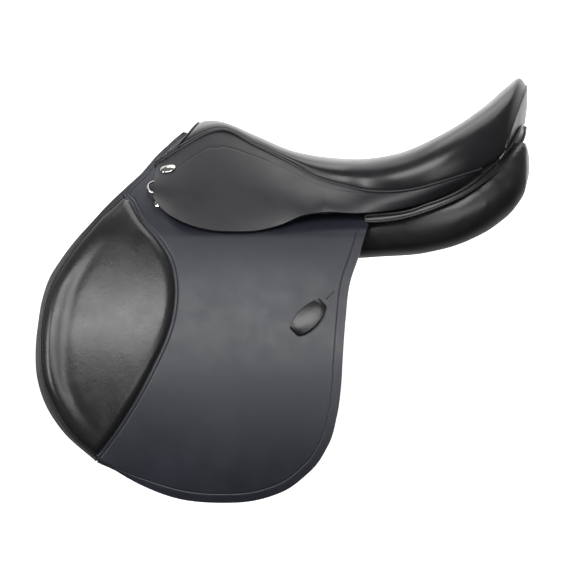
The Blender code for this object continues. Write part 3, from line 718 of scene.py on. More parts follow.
def cantle_line(v):
    across = 2 * v - 1
    edge = (seat_point(1, across, 1.5) - seat_point(0.99, across, 1.5)).normalized()
    return seat_point(1, across, 0.7) + edge * 1.2


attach(cord_along("cantle_cord", seat_hide, cantle_line, lambda v: 1.5), "root")


def strip_line(v):
    across = 2 * v - 1
    return seat_point(0.038 + 0.012 * across**2, across, -1.0)


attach(cord_along("pommel_cord", skirt_hide, strip_line, lambda v: 1.0), "root")
print("pommel and cantle covered")

# %% [markdown]
# ## The welt
# Where the seat meets the skirt a cord wrapped in leather is sewn between them. It is thickest at the
# pommel, and gets thinner towards the cantle. It follows the seat's own side edge, just below it.

# %% Welt
def build_welt(name, side):
    def line(v):
        return seat_point(0.012 + 0.878 * v, side, 0) + Vector((0, side * 1.7, -1.2))

    cord = cord_along(
        f"welt_cord_{name}", skirt_hide, line, lambda v: 2.1 - 0.8 * v, along=260)
    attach(cord, "root")
    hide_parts(f"seat_welt_{name}")


both_sides(build_welt)
print("welts:", len(SIDES))

# %% [markdown]
# ## The skirts
# A skirt is one piece of bridle leather from the welt to its rounded lower edge, with a decorative line
# pressed into it beside the seat. The frame splits it where it lifts off the stirrup bar. The leather
# itself doesn't split, so the new piece is one piece across that line.

# %% Skirt leather
crease_reach = through(
    ((-211, 19), (-181, 17), (-163, 17), (-145, 21.5), (-126, 18), (-96, 12.5), (-61, 10), (-26, 8.5),
     (4, 7.5), (24, 5.5), (60, 4.5), (157, 4)))
SKIRT_MARKS = (
    [(0, 0), (0, 0.7), (0, 1.5), (0, 2.6), (0, 4.5), (0, 8)]
    + between_bands(16)
    + [(1, 1.3), (1, 1.16), (1, 1.08), (1, 1.04), (1, 1.0), (1, 0.96), (1, 0.92), (1, 0.84)]
    + [(1, 0.65), (1, 0.4), (1, 0.2), (1, 0.06), (1, 0)]
)


def skirt_bend():
    """A point on the hinge line, and the way down the skirt at right angles to it."""
    front, rear = SKIRT_HINGE_FRONT, SKIRT_HINGE_REAR
    axis = (rear - front).normalized()
    middle = front.lerp(rear, 0.6)
    down = Vector((-95, 141.5, 34.6)) - middle
    return middle, (down - axis * down.dot(axis)).normalized()


def build_skirt(name, side):
    low = route([(-213.5, 90), (-214, 80)] + [(x, z) for x, _, z in SKIRT_EDGE])
    top = route([(x, z - 0.5) for x, _, z in WELT])

    def surface(x, z, mark, v):
        share, reach = mark
        relief = 0.3 * abs(noise.noise(Vector((x / 60, z / 40, 7.0))))
        if share == 1:
            pressed = ease((x + 203) / 22) * (1 - ease((x - 5) / 40))
            relief -= 0.45 * pressed * groove(reach - 1.0, 0.04)
        return Vector((x, side * (skirt_y(x, z) + relief), z))

    bm = cut_leather(low, top, SKIRT_MARKS, 200, surface, lambda v: crease_reach(top(v)[0])[0])
    piece = make_piece(bm, f"skirt_leather_{name}", skirt_hide, (0, side, 0.3))
    thicken(piece, SKIRT_LEATHER - 0.8, round_edge=1.1)
    middle, down = skirt_bend()
    start, end = (middle + down * reach for reach in (-4, 6))
    start, end = (Vector((p.x, side * p.y, p.z)) * MM for p in (start, end))
    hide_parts(f"skirt_{name}", f"skirt_lobe_{name}")
    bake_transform(piece)
    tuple(start)
    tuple(end)
    print(piece.name, len(piece.data.polygons), "faces")


both_sides(build_skirt)

# %% [markdown]
# ## The flaps
# The flap is the largest piece, cut in one from the pommel's corner to the foot. Its front edge turns
# in and is sewn down over the knee pad with two rows of stitches, and a crease runs round the rest.
# The frame lets its lower part swing up about a line along the saddle.

# %% Flap lines
FLAP_FIRST = through(
    ((0, -180, 152), (0.03, -195, 140), (0.06, -211, 124), (0.10, -228, 102), (0.145, -247, 80),
     (0.165, -248, 75), (0.185, -242.4, 68), (0.26, -227.6, 42.8), (0.32, -210.7, 22.8),
     (0.38, -196.2, -0.5), (0.44, -190.5, -25.9), (0.51, -191.8, -56.7), (0.58, -199, -84.3),
     (0.66, -212.7, -115), (0.77, -231.9, -151.9), (0.90, -255.2, -188.4), (1, -273, -213)))
FLAP_SECOND = through(
    ((0, -176, 145), (0.03, -186, 130), (0.06, -196, 112), (0.10, -197, 92), (0.145, -170, 71),
     (0.20, -80, 56), (0.24, -30, 58), (0.27, 28, 60), (0.29, 31, 52), (0.32, 26, 32), (0.345, 20.5, 14),
     (0.42, 8, -22.6), (0.51, 2.5, -65), (0.61, -1, -109), (0.68, -3, -140), (0.745, -7.5, -171),
     (0.81, -18, -205), (0.86, -39, -234), (0.895, -70, -256), (0.93, -120, -267), (0.96, -185, -262),
     (0.98, -226, -246), (1, -268, -221)))
FLAP_MARKS = (
    [(0, mm) for mm in (0, 0.6, 1.3, 2.3, 2.7, 3.0, 3.3, 3.8, 5.0, 6.2, 6.7, 7.0, 7.3, 7.8, 9.5, 13)]
    + between_bands(28)
    + [(1, mm) for mm in (13.5, 11.6, 10.8, 10.3, 9.9, 9.5, 9.0, 8, 6, 3.5, 1.6, 0.7, 0)]
)
STITCH_ROWS = (3.0, 7.0)
STITCH_SINK = 0.25
CREASE = 9.9


def hang(x, z):
    """How far the leather stands off its plain curve: long soft waves, none above the hinge."""
    loose = ease((10 - z) / 60)
    return loose * 1.6 * noise.noise(Vector((x / 110 + 3, z / 130, 1.5)))


def flap_surface(side, x, z, lift):
    return Vector((x, side * (flap_y(x, z) + hang(x, z) + lift), z))


def flap_facing(side, x, z):
    return facing(lambda a, b: flap_y(a, b) + hang(a, b), side, x, z)


def bend_at_hinge(piece, name):
    """Writes the piece's placement into its own mesh; it doesn't bend the leather at the hinge."""
    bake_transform(piece)


print("lines drawn on the flap:", len(FLAP_MARKS))

# %% Flap leather
def build_flap(name, side):
    def surface(x, z, mark, v):
        share, mm = mark
        relief = 0.0
        if share == 0:
            relief -= sum(0.5 * groove(mm - row, 0.45) for row in STITCH_ROWS)
            relief += 0.3 * groove(mm - sum(STITCH_ROWS) / 2, 1.2)
        if share == 1 and v > 0.28:
            below_skirt = ease((50 - z) / 14)
            relief -= (0.45 * groove(mm - CREASE, 0.45) + 0.3 * (1 - ease(mm / 9))) * below_skirt
        return flap_surface(side, x, z, FLAP_LEATHER / 2 + relief)

    bm = cut_leather(
        FLAP_FIRST, FLAP_SECOND, FLAP_MARKS, 280, surface, lambda v: 0.15 + 0.85 * ease((v - 0.27) / 0.05))
    piece = make_piece(bm, f"flap_leather_{name}", flap_hide, (0, side, 0))
    thicken(piece, FLAP_LEATHER, round_edge=1.1)
    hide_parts(f"flap_top_{name}", f"flap_{name}")
    bend_at_hinge(piece, name)
    print(piece.name, len(piece.data.polygons), "faces")
    for number, distance in enumerate(STITCH_ROWS, 1):
        line = beside(FLAP_FIRST, 1, distance)

        def along(v, line=line):
            return line(0.2 + 0.77 * v)

        stitches = stitch_row(
            f"pad_seam_stitches_{number}_{name}",
            lambda v: flap_surface(side, *along(v), FLAP_LEATHER / 2 - STITCH_SINK),
            lambda v: flap_facing(side, *along(v)))
        bend_at_hinge(stitches, name)


both_sides(build_flap)

# %% [markdown]
# ## The knee pads
# In front of the flap's seam is a pad of soft calf over foam, with a firm roll along its front. Under
# it a lining carries on to the saddle's outline and shows as a narrow dark border, and a thin piping
# closes the join. The pad's height is built up from its distance to each edge: it rises steeply, like
# the side of a cushion, dips slightly behind the roll, and drops under the flap's sewn edge.

# %% Knee pad
PAD_FRONT = route(
    ((-248, 72), (-258.9, 60.6), (-271.9, 48.3), (-283.5, 34), (-296.5, 17.5), (-309.2, -1),
     (-322.7, -26), (-331.1, -57), (-333.5, -98.5), (-329, -135), (-317, -162.2), (-299.5, -188.8),
     (-273, -214)))
PAD_REAR = route(
    ((-241, 69), (-225, 43.5), (-208, 23.5), (-193.6, 0), (-187.8, -26), (-189, -57), (-196.4, -85),
     (-210.2, -116), (-229.5, -153), (-253, -190), (-271, -213)))
LINING_FRONT = route(
    ((-228, 102), (-247, 83), (-267, 62), (-283, 43), (-297, 26.5), (-304, 17.5), (-316, 0),
     (-326, -17), (-334, -42), (-338, -70), (-340, -98), (-338, -128), (-329, -157), (-310, -187),
     (-273, -221)))
LINING_REAR = route(
    ((-222, 98), (-228, 64), (-212, 38), (-196, 16), (-183, -6), (-177, -28), (-178, -56),
     (-186, -82), (-199, -112), (-219, -149), (-243, -186), (-258, -216)))


PAD_FRONT_SIDE, PAD_REAR_SIDE = 13, 12
PAD_RISE, PAD_CROWN, PAD_EDGE = 7.6, 2.4, 0.7


def pad_height(from_front, from_rear, v, x, z):
    """Height of the pad over the lining, all in mm."""
    front = math.sqrt(max(0.0, 1 - (1 - min(from_front / PAD_FRONT_SIDE, 1)) ** 2))
    rear = math.sqrt(max(0.0, 1 - (1 - min(from_rear / PAD_REAR_SIDE, 1)) ** 2))
    width = from_front + from_rear
    crown = math.sin(math.pi * min(max(from_front / max(width, 1e-6), 0), 1)) * min(width / 90, 1)
    height = (PAD_RISE + PAD_CROWN * crown) * front * rear
    rolled = ease((v - 0.16) / 0.22) * ease((0.93 - v) / 0.2)
    height += rolled * (1.7 * groove(from_front - 11, 7.5) - 1.5 * groove(from_front - 26, 6.5)) * rear
    creased = noise.noise(Vector((x / 14, z / 30, 4.0))) * 0.35 + noise.noise(Vector((x / 45, z / 60, 9.0)))
    return height + 0.5 * creased * front * rear


def build_pad(name, side):
    def point(u, v):
        top = u <= 0.5
        share = 2 * u if top else 2 - 2 * u
        share = 0.5 - 0.5 * math.cos(math.pi * share)
        a, b = PAD_FRONT(v), PAD_REAR(v)
        x, z = a + (b - a) * share
        width = float(np.linalg.norm(b - a))
        if not top:
            return flap_surface(side, x, z, 0.2)
        return flap_surface(side, x, z, pad_height(share * width, (1 - share) * width, v, x, z) + PAD_EDGE)

    pad = closed_net(f"knee_pad_leather_{name}", pad_hide, 120, 130, point)
    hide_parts(f"knee_pad_{name}")
    bend_at_hinge(pad, name)

    def lining_surface(x, z, mark, v):
        share, mm = mark
        pressed = 0.4 * groove(mm - 2.6, 0.8) if share == 0 else 0.0
        return flap_surface(side, x, z, 0.3 - pressed)

    marks = [(0, mm) for mm in (0, 0.6, 1.4, 2.6, 5)] + between_bands(12) + [(1, 0)]
    bm = cut_leather(LINING_FRONT, LINING_REAR, marks, 150, lining_surface)
    lining = make_piece(bm, f"pad_lining_{name}", skirt_hide, (0, side, 0))
    thicken(lining, 2.4, round_edge=0.8)
    bend_at_hinge(lining, name)

    piping = cord_along(
        f"pad_piping_{name}", skirt_hide,
        lambda v: flap_surface(side, *PAD_FRONT(v), 1.1) + Vector((-0.8, 0, 0)), lambda v: 1.1, along=240)
    bend_at_hinge(piping, name)

    line = beside(PAD_FRONT, 1, 3.2)
    stitches = stitch_row(
        f"pad_edge_stitches_{name}",
        lambda v: flap_surface(side, *line(0.42 + 0.56 * v), 5.6),
        lambda v: flap_facing(side, *line(0.42 + 0.56 * v)) + Vector((-1.2, 0, -0.2)),
        pitch=4.2, width=0.5, slant=0.35)
    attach(stitches, f"flap_{name}")


both_sides(build_pad)
print("knee pads:", len(SIDES))

# %% [markdown]
# ## The keeper
# A keeper is a short loop of leather that holds the end of the stirrup leather flat on the flap. Seen
# from above it has a barrel's outline, and both its ends go down through slits. The end towards the
# back is held by four stitches in line with it.

# %% Keeper
KEEPER_CENTRE = Vector((-39.0, 0, -62.5))
KEEPER_LENGTH, KEEPER_HALF_WIDTH, KEEPER_RISE = 47.0, 12.0, 7.0
KEEPER_SLOPE = Vector((1, 0, 1)).normalized()
KEEPER_ACROSS = Vector((1, 0, -1)).normalized()


def build_keeper(name, side):
    def point(u, v):
        end = 2 * v - 1
        sideways = 2 * u - 1
        half = KEEPER_HALF_WIDTH * (1 - 0.50 * abs(end) ** 2.2)
        here = KEEPER_CENTRE + KEEPER_SLOPE * (v - 0.5) * KEEPER_LENGTH + KEEPER_ACROSS * sideways * half
        rise = KEEPER_RISE * (1 - 0.3 * end**2 - 0.7 * abs(end) ** 12) - 1.2 * sideways**2 + 0.25
        return flap_surface(side, here.x, here.z, FLAP_LEATHER / 2 + rise)

    keeper = make_piece(net(24, 60, point), f"keeper_loop_{name}", pad_hide, (0, side, 0))
    thicken(keeper, 2.6, round_edge=0.8)
    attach(keeper, f"flap_{name}")
    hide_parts(f"keeper_{name}")

    def row(v):
        here = KEEPER_CENTRE + KEEPER_SLOPE * (KEEPER_LENGTH / 2 + 4 + 14.5 * v)
        return flap_surface(side, here.x, here.z, FLAP_LEATHER / 2 + 0.1)

    stitches = stitch_row(
        f"keeper_stitches_{name}", row, lambda v: (0, side, 0), pitch=3.6, length=2.2, width=0.9,
        slant=0.3, sink=-0.1)
    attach(stitches, f"flap_{name}")


both_sides(build_keeper)
print("keepers:", len(SIDES))

# %% [markdown]
# ## Studs and dees
# A plated stud holds the skirt to the tree at the pommel. Below it a D-shaped ring sits in a folded
# tab, for a breastplate strap, and a domed nail holds the end of the tab. The stud and the nail are low
# domes, so each is the top of a ball pressed flat. The ring is a wire bent round one closed path.

# %% Metal at the pommel
def dome(name, body, centre, outward, radius, height, stretch=1.0, turn=0.0):
    """A low dome with a rim, sitting on a surface."""
    outward = Vector(outward).normalized()
    bm = bmesh.new()
    bmesh.ops.create_uvsphere(bm, u_segments=40, v_segments=24, radius=1.0)
    for vert in bm.verts:
        x, y, z = vert.co
        low = z < 0
        rim = 0.86 + 0.14 * ease((0.55 - z) / 0.2)
        vert.co = (x * radius * stretch * rim, y * radius * rim, (0.25 if low else 1.0) * z * height)
    matrix = Matrix.Translation(Vector(centre)) @ outward.to_track_quat("Z", "X").to_matrix().to_4x4()
    bmesh.ops.transform(bm, matrix=matrix @ Matrix.Rotation(turn, 4, "Z"), verts=bm.verts)
    piece = make_piece(bm, name, nickel)
    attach(piece, body)
    return piece


DEE_WIRE, DEE_HALF_LENGTH, DEE_REACH = 1.3, 9.5, 10.0
DEE_TAB_WIDTH, DEE_TAB_LENGTH = 11.0, 20


STUD_PLACE, NAIL_PLACE, DEE_PLACE = (-198, 105), (-207.5, 64.5), (-210.5, 80)


def build_pommel_metal(name, side):
    x, z = STUD_PLACE
    outward = facing(skirt_y, side, x, z)
    stud = dome(
        f"stud_cap_{name}", "root", Vector((x, side * skirt_y(x, z), z)) + outward * 0.6, outward,
        radius=7.0, height=2.6, stretch=1.3, turn=math.radians(70 * side))
    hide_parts(f"stud_{name}")
    nail = dome(
        f"dee_nail_cap_{name}", "root", on_flap(side, *NAIL_PLACE, FLAP_LEATHER / 2 + 0.5),
        facing(flap_y, side, *NAIL_PLACE), radius=5.0, height=2.2)
    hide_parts(f"dee_nail_{name}")

    out = facing(flap_y, side, *DEE_PLACE)
    centre = on_flap(side, *DEE_PLACE) + out * (FLAP_LEATHER / 2 + 3.6)
    forward = (Vector((-1, 0, 0)) + out * out.x).normalized()
    along = out.cross(forward)

    def wire(v):
        v %= 1.0
        if v < 0.5:
            turn = math.pi * (v * 2 - 0.5)
            return centre + DEE_HALF_LENGTH * math.sin(turn) * along + DEE_REACH * math.cos(turn) * forward
        return centre + DEE_HALF_LENGTH * (3 - 4 * v) * along

    def bent(v):
        return sum((wire(v + k * 0.004) for k in range(-3, 4)), Vector()) / 7

    def ring_point(u, v):
        ahead = (bent(v + 0.01) - bent(v - 0.01)).normalized()
        sideways = ahead.cross(out).normalized()
        a, b = oval(u, DEE_WIRE, DEE_WIRE)
        return bent(v) + sideways * a + out * b

    ring = closed_net(f"dee_ring_{name}", nickel, 14, 90, ring_point)
    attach(ring, f"dee_{name}")
    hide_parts(f"dee_{name}")

    fold_radius = DEE_WIRE + 0.5 + 0.75

    def tab_point(u, v):
        run = 2 * v - 1
        bend = min(abs(run) / 0.35, 1.0)
        straight = max(abs(run) - 0.35, 0.0) / 0.65 * DEE_TAB_LENGTH
        angle = math.copysign(bend * math.pi / 2, run)
        rise = fold_radius * math.sin(angle)
        reach = fold_radius * math.cos(angle) - straight
        width = DEE_TAB_WIDTH * (1 - 0.12 * ease(straight / DEE_TAB_LENGTH))
        return centre + out * rise + forward * reach + along * (u - 0.5) * width

    tab = make_piece(net(8, 48, tab_point), f"dee_tab_leather_{name}", skirt_hide)
    thicken(tab, 1.3, offset=0.0, round_edge=0.4)
    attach(tab, "root")
    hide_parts(f"dee_tab_{name}")


both_sides(build_pommel_metal)
print("studs, dees and nails:", 3 * len(SIDES))

# %% [markdown]
# ## Under the flap
# Next to the horse hangs the sweat flap, with a firm block for the knee on it. Between it and the flap
# hang three straps with punched holes, which the girth's buckles take, and a guard that slides down
# over the buckles to keep them off the flap. The straps are simple bands, so they are cut, punched with
# a boolean and creased, and aren't remeshed, which would rub out their edges.

# %% Sweat flaps and blocks
SWEAT_FRONT = route(
    ((-262, 50), (-285, 32), (-306, 12), (-325, -22), (-338, -60), (-342, -98), (-339, -130),
     (-325, -165), (-296, -200), (-262, -224)))
SWEAT_REAR = route(
    ((12, 24), (11, 5), (4, -20), (-4, -70), (-8, -120), (-12, -165), (-26, -205), (-60, -238),
     (-120, -252), (-190, -248)))
BLOCK_FRONT = route(((-268, 5), (-296, -25), (-312, -65), (-314, -105), (-300, -145)))
BLOCK_REAR = route(((-244, 5), (-256, -25), (-262, -65), (-262, -105), (-262, -145)))
SWEAT_MARKS = (
    [(0, mm) for mm in (0, 0.8, 2.4, 3.4, 4.0, 4.6, 6.5)]
    + between_bands(24)
    + [(1, mm) for mm in (6.5, 4.6, 4.0, 3.4, 2.4, 0.8, 0)]
)


SWEAT_LEATHER, BLOCK_HALF_DEPTH = 3.0, 6


def build_sweat_flap(name, side):
    outer = SWEAT_LEATHER / 2 - SWEAT_FLAP_DEPTH

    def surface(x, z, mark, v):
        share, mm = mark
        pressed = 0.5 * groove(mm - 4.0, 0.5) if share in (0, 1) else 0.0
        return on_flap(side, x, z, outer - pressed)

    bm = cut_leather(SWEAT_FRONT, SWEAT_REAR, SWEAT_MARKS, 120, surface)
    piece = make_piece(bm, f"sweat_flap_leather_{name}", strap_hide, (0, side, 0))
    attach(thicken(piece, SWEAT_LEATHER, round_edge=1.0), "root")
    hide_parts(f"sweat_flap_{name}")

    def block(u, v):
        a, b = oval(u, 1, 1, 0.75)
        front, rear = BLOCK_FRONT(v), BLOCK_REAR(v)
        x, z = front + (rear - front) * (a + 1) / 2
        taper = 0.35 + 0.65 * math.sqrt(max(0.0, math.sin(math.pi * v)))
        return on_flap(side, x, z, outer + 0.3 + BLOCK_HALF_DEPTH * (1 + b) * taper)

    pad = closed_net(f"knee_block_leather_{name}", pad_hide, 36, 60, block)
    inflate(pad, voxel=4.5, most_move=1.5)
    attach(pad, "root")
    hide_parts(f"knee_block_{name}")


both_sides(build_sweat_flap)
print("sweat flaps:", len(SIDES))

# %% Girth straps and guards
STRAP_WIDTH, STRAP_PITCH, MIDDLE_STRAP_X = 25.0, 36.0, -72.0
STRAP_TOP_Z, STRAP_TIP_Z = 80.0, -215.0
STRAP_HOLES, FIRST_HOLE, HOLE_PITCH, HOLE_RADIUS = 7, 26, 24.0, 2.5
STRAP_CREASE, STRAP_TAPER = 2.2, 14


def punched(piece, centres, outward):
    """Cuts a round hole through a strap at each centre, in mm."""
    bm = bmesh.new()
    for centre, out in zip(centres, outward):
        matrix = Matrix.Translation(centre) @ out.to_track_quat("Z", "X").to_matrix().to_4x4()
        bmesh.ops.create_cone(
            bm, cap_ends=True, segments=24, radius1=HOLE_RADIUS, radius2=HOLE_RADIUS, depth=12, matrix=matrix)
    tool = make_piece(bm, f"{piece.name}_punch", edge_dye)
    cut = piece.modifiers.new("Holes", "BOOLEAN")
    cut.object = tool
    cut.solver = "EXACT"
    settle(piece)
    bpy.data.objects.remove(tool)
    return piece


def build_strap(label, number, name, side):
    """number is -1 for the front strap, 0 for the middle one and 1 for the rear one."""
    middle_x = MIDDLE_STRAP_X + number * STRAP_PITCH
    across = [0, 0.03, 0.065, 0.088, 0.11, 0.16, 0.3, 0.5, 0.7, 0.84, 0.89, 0.912, 0.935, 0.97, 1]

    def point(u, v):
        z = STRAP_TOP_Z + v * (STRAP_TIP_Z - STRAP_TOP_Z)
        tip = max(0.0, 1 - (z - STRAP_TIP_Z) / STRAP_TAPER)
        width = STRAP_WIDTH * (1 - 0.5 * tip**2)
        share = across[round(u * (len(across) - 1))]
        edge = min(share, 1 - share) * STRAP_WIDTH
        lift = STRAP_LEATHER / 2 - 0.45 * groove(edge - STRAP_CREASE, 0.45) - STRAP_DEPTH
        here = on_flap(side, MIDDLE_STRAP_X, z, lift)
        return here + Vector((middle_x - MIDDLE_STRAP_X + (share - 0.5) * width, 0, 0))

    bm = net(len(across) - 1, 90, point)
    piece = make_piece(bm, f"girth_strap_leather_{label}_{name}", strap_hide, (0, side, 0))
    thicken(piece, STRAP_LEATHER, round_edge=0.8)
    centres, outward = [], []
    for hole in range(STRAP_HOLES):
        z = STRAP_TIP_Z + FIRST_HOLE + hole * HOLE_PITCH
        here = on_flap(side, MIDDLE_STRAP_X, z, -STRAP_DEPTH)
        centres.append(here + Vector((middle_x - MIDDLE_STRAP_X, 0, 0)))
        outward.append(facing(flap_y, side, MIDDLE_STRAP_X, z))
    punched(piece, centres, outward)
    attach(piece, f"girth_strap_{label}_{name}")
    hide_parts(f"girth_strap_{label}_{name}")


GUARD_TOP_Z, GUARD_HEIGHT, GUARD_HALF_DEPTH, GUARD_HALF_WIDTH = -60.0, 70.0, 7.9, 53.9
GUARD_LEATHER = 1.6


def build_guard(name, side):
    def point(u, v):
        a, b = oval(u, GUARD_HALF_WIDTH, GUARD_HALF_DEPTH, 0.25)
        z = GUARD_TOP_Z - v * GUARD_HEIGHT
        rim = 1 + 0.05 * groove(min(v, 1 - v) * GUARD_HEIGHT - 3.0, 0.9)
        return on_flap(side, MIDDLE_STRAP_X, z, b * rim - STRAP_DEPTH) + Vector((a, 0, 0))

    bm = net(96, 50, point)
    piece = make_piece(bm, f"buckle_guard_leather_{name}", strap_hide)
    thicken(piece, GUARD_LEATHER, round_edge=0.5)
    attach(piece, f"buckle_guard_{name}")
    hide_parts(f"buckle_guard_{name}")


def build_girth_side(name, side):
    for number, label in enumerate(("front", "middle", "rear"), -1):
        build_strap(label, number, name, side)
    build_guard(name, side)


both_sides(build_girth_side)
print("girth straps:", 3 * len(SIDES))

# %% [markdown]
# ## The panels
# Two long cushions, stuffed with wool, lie on either side of the spine. Their calf skin is laced to the
# seat along a seam whose two rolled edges run round the back. The skins are inflated here, so that they
# swell between the seams as stuffed skins do.

# %% Panel cushions
panel_station = through(
    (
        (0.00, -208, 66, 62, 34, 6, 50),
        (0.05, -200, 66, 58, 44, 11, 50),
        (0.16, -150, 60, 46, 43, 14, 46),
        (0.28, -100, 60, 40, 43, 16, 42),
        (0.40, -50, 62, 34, 43, 18, 34),
        (0.52, 0, 66, 32, 43, 21, 22),
        (0.64, 50, 72, 37, 46, 27, 10),
        (0.75, 100, 74, 45, 48, 33, 0),
        (0.86, 150, 70, 63, 47, 36, -4),
        (0.93, 182, 62, 84, 44, 38, -10),
        (0.975, 204, 54, 103, 38, 36, -12),
        (0.993, 213, 50, 110, 28, 27, -12),
        (1.00, 217, 48, 112, 12, 12, -12),
    )
)


def panel_point(side, u, v):
    x, y, z, half_width, half_height, tilt = panel_station(v)
    a, b = oval(u, half_width, half_height, 0.75)
    turn = math.radians(tilt)
    return Vector((
        x,
        side * (y + a * math.cos(turn) + b * math.sin(turn)),
        z - a * math.sin(turn) + b * math.cos(turn),
    ))


def build_panel(name, side):
    panel = closed_net(
        f"panel_leather_{name}", panel_hide, 56, 90, lambda u, v: panel_point(side, u, v))
    inflate(panel, voxel=6.0, most_move=2.5)
    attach(panel, "root")
    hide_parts(f"panel_{name}")


both_sides(build_panel)
print("panels:", len(SIDES))

# %% The laced seam round the back
LOWER_BEAD = (
    (25, 124, 44.5), (34.5, 125, 44.3), (47.9, 126, 45), (63.6, 128, 47.2), (81.6, 128.5, 51.7),
    (99.6, 128, 57.9), (137.2, 121, 74.5), (168.7, 107, 95.9), (193.4, 84, 116.8), (209.6, 56, 140),
    (217, 16, 158))
UPPER_BEAD = (
    (25, 124, 51), (35.6, 124, 51.8), (78.2, 127, 57.4), (92.9, 127, 63), (109.8, 126, 68.7),
    (141.9, 119, 84.7), (170, 105, 107.9), (192.2, 82, 129.3), (205.5, 58, 151.1), (214, 16, 163))


def build_laced_seam(name, side):
    lower = route([(x, side * y, z) for x, y, z in LOWER_BEAD])
    upper = route([(x, side * y, z) for x, y, z in UPPER_BEAD])
    for label, line, radius in (("lower", lower, 1.5), ("upper", upper, 1.8)):
        cord = cord_along(
            f"panel_{label}_bead_{name}", panel_hide, line, lambda v: radius, along=220)
        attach(cord, "root")

    def band(u, v):
        """The strip from the lower bead, past the upper one, to where it is hidden behind the skirt."""
        low, high = Vector(lower(v)), Vector(upper(v))
        reach = 2.4 * u
        depth = 1.4 * math.sin(math.pi * min(reach, 1.0)) + 6 * max(reach - 1, 0.0)
        return low.lerp(high, reach) + Vector((-1.0 * v, -side * (1 - 0.6 * v), 0)) * depth

    strip = make_piece(
        net(10, 120, band), f"panel_seam_strip_{name}", panel_hide, (0.3, side, 0))
    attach(thicken(strip, 1.6, round_edge=0.0), "root")
    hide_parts(f"panel_seam_{name}")

    def lacing(v):
        return Vector(lower(0.06 + 0.88 * v)) + Vector((0.4 * v, side * 1.4, 0.6))

    laces = stitch_row(
        f"panel_lacing_{name}", lacing, lambda v: (0.5 * v, side, 0.2), pitch=5.0, length=3.2, width=0.5,
        slant=1.4, sink=0.0)
    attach(laces, "root")


both_sides(build_laced_seam)
print("laced seams:", len(SIDES))

# %% [markdown]
# ## Inside and underneath
# Under the arch the tree is covered with leather, and over the spine channel lies a strip of canvas.
# Between the tree and the seat are linen webs, stretched along and across, with a foam pad on them.
# The tree, its springs and its steel plates are already true in the frame, so they only need finishes.

# %% Linings, webs and foam
arch_line = route(((0, 119), (18, 114.5), (30, 105), (35, 97)))
channel_height = through(
    ((-158, 108), (-110, 92), (-60, 78), (0, 70), (60, 74), (120, 92), (170, 118), (205, 140)))


def under_head(u, v):
    y, z = arch_line(abs(2 * u - 1))
    return Vector((-196 + 34 * v, math.copysign(y, u - 0.5), z - 0.15 * (1 - v) * (z - 70)))


def channel(u, v):
    x, across = -158 + 363 * u, 2 * v - 1
    return Vector((x, 24 * across, channel_height(x)[0] - 7 * across**2))


def seat_pad(u, v):
    across = 1.62 * (v - 0.5)
    dip = 1.5 * max(abs(2 * u - 1) ** 8, abs(2 * v - 1) ** 8)
    return seat_point(0.17 + 0.76 * u, across, COVER_LEATHER + 2.0 + dip)


def webs(u, v):
    weave = 0.35 * math.sin(12 * math.pi * u) * math.sin(8 * math.pi * v)
    return seat_point(0.14 + 0.72 * u, 1.6 * (v - 0.5), 15.0 + weave)


arch_cover = make_piece(net(48, 8, under_head), "arch_cover", panel_hide, (0, 0, -1))
thicken(arch_cover, 2.0, offset=0.0, round_edge=0.6)
channel_strip = make_piece(net(80, 14, channel), "channel_canvas", canvas, (0, 0, -1))
thicken(channel_strip, 1.6, offset=0.0, round_edge=0.5)
foam_pad = make_piece(net(60, 36, seat_pad), "foam_pad", latex, (0, 0, 1))
thicken(foam_pad, 8.0, round_edge=1.5)
webs_sheet = make_piece(net(72, 48, webs), "seat_webs", webbing, (0, 0, 1))
thicken(webs_sheet, 1.6, round_edge=0.0)
REPLACED = (
    (arch_cover, "arch_lining"), (channel_strip, "gullet_lining"), (foam_pad, "seat_foam"),
    (webs_sheet, "seat_webbing"),
)
for piece, node in REPLACED:
    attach(piece, "root")
    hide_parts(node)
print("linings, webs and foam:", len(REPLACED))

# %% Finishes for the frame's own pieces
FINISHES = {
    "tree_frame": beech, "tree_head": beech, "gullet_plate": steel, "tree_spring": steel,
    "bar_rivet_front": steel, "bar_rivet_rear": steel, "catch_pin": steel, "stirrup_bar": nickel,
    "bar_catch": nickel,
}
for node_name, finish in FINISHES.items():
    for node in (node_name, f"{node_name}_L", f"{node_name}_R"):
        if node in bpy.data.objects:
            for material_slot in bpy.data.objects[node].material_slots:
                material_slot.material = finish
print("finished frame pieces:", len(FINISHES))

# %% [markdown]
# ## Light, floor and camera
# Black leather is drawn by what it reflects, so the lights are big and soft: one overhead for the top of
# the seat, one in front for the flap, a tall one at the pommel side for the roll of the knee pad, and a
# low one in front for the undersides. The floor and the world are plain and pale. A white room would
# show as a grey veil on black leather, so the world is dim wherever the camera doesn't look straight
# at it, except for a glow behind the saddle that draws the bright rim of the seat.

# %% Studio
def soft_light(name, place, target, width, height, power):
    lamp = bpy.data.lights.new(name, "AREA")
    lamp.shape = "RECTANGLE"
    lamp.size, lamp.size_y, lamp.energy = width, height, power
    obj = bpy.data.objects.new(name, lamp)
    obj.location = place
    obj.rotation_euler = (Vector(target) - Vector(place)).to_track_quat("-Z", "Y").to_euler()
    bpy.context.scene.collection.objects.link(obj)


soft_light("overhead", (0.15, 0.3, 1.9), (0, 0, 0), 1.6, 1.2, 16)
soft_light("flap_light", (-0.35, -2.1, 1.15), (-0.12, 0, -0.06), 2.2, 0.9, 48)
soft_light("pommel_side", (-1.7, -1.1, 0.3), (-0.25, 0, -0.05), 0.35, 1.3, 16)
soft_light("low_front", (0.9, -2.5, 0.05), (-0.05, 0, -0.05), 1.8, 0.7, 12)
print("lights:", len(bpy.data.lights))

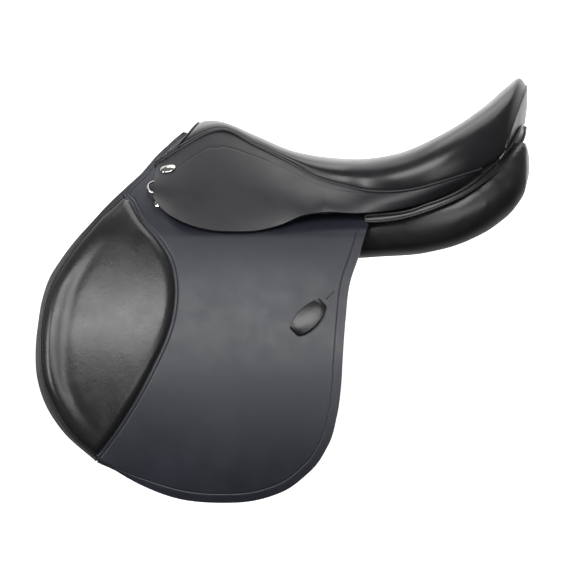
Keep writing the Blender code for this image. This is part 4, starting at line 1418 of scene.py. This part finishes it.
# %% Floor
FLOOR_Z, FLOOR_RADIUS = -0.42, 12
floor_mesh = bpy.data.meshes.new("floor")
bm = bmesh.new()
bmesh.ops.create_circle(bm, cap_ends=True, segments=96, radius=FLOOR_RADIUS)
bm.to_mesh(floor_mesh)
bm.free()
floor = bpy.data.objects.new("floor", floor_mesh)
floor.location.z = FLOOR_Z
bpy.context.scene.collection.objects.link(floor)
plain = bpy.data.materials.new("studio_floor")
add, join, shader = node_maker(plain)
shader.inputs["Base Color"].default_value = (0.8, 0.8, 0.8, 1)
shader.inputs["Emission Color"].default_value = (1, 1, 1, 1)
shader.inputs["Emission Strength"].default_value = 0.72
shader.inputs["Roughness"].default_value = 0.9
floor_mesh.materials.append(plain)
floor.visible_diffuse = False
floor.visible_glossy = False
print("floor at", FLOOR_Z, "m")

# %% World
world = bpy.data.worlds.new("studio")
bpy.context.scene.world = world
add, join, background = node_maker(world, "Background")
background.inputs["Color"].default_value = (1, 1, 1, 1)
direction = add("ShaderNodeTexCoord")
parts = add("ShaderNodeSeparateXYZ")
join(direction, "Generated", parts, "Vector")
behind = add("ShaderNodeMapRange", From_Min=0.2, From_Max=0.9, To_Min=0.16, To_Max=1.8)
join(parts, "Y", behind, "Value")
level = add("ShaderNodeMapRange", From_Min=-0.15, From_Max=0.05, To_Min=0.16, To_Max=1.0)
join(parts, "Z", level, "Value")
glow = add("ShaderNodeMath", {"operation": "MULTIPLY"})
join(behind, "Result", glow, 0)
join(level, "Result", glow, 1)
seen = add("ShaderNodeLightPath")
strength = add("ShaderNodeMath", {"operation": "MAXIMUM"})
join(glow, "Value", strength, 0)
join(seen, "Is Camera Ray", strength, 1)
join(strength, "Value", background, "Strength")
bpy.context.scene.view_settings.view_transform = "Standard"
print("world nodes:", len(world.node_tree.nodes))

# %% Camera
lens = bpy.data.cameras.new("camera")
lens.lens = 161.8
lens.sensor_width = 36
lens.clip_end = 100
camera = bpy.data.objects.new("camera", lens)
camera.location = (-0.0658, -3.0, -0.0259)
camera.rotation_euler = (math.radians(90), 0, 0)
bpy.context.scene.collection.objects.link(camera)
bpy.context.scene.camera = camera
print("camera", round(-camera.location.y, 2), "m in front of the saddle's middle")
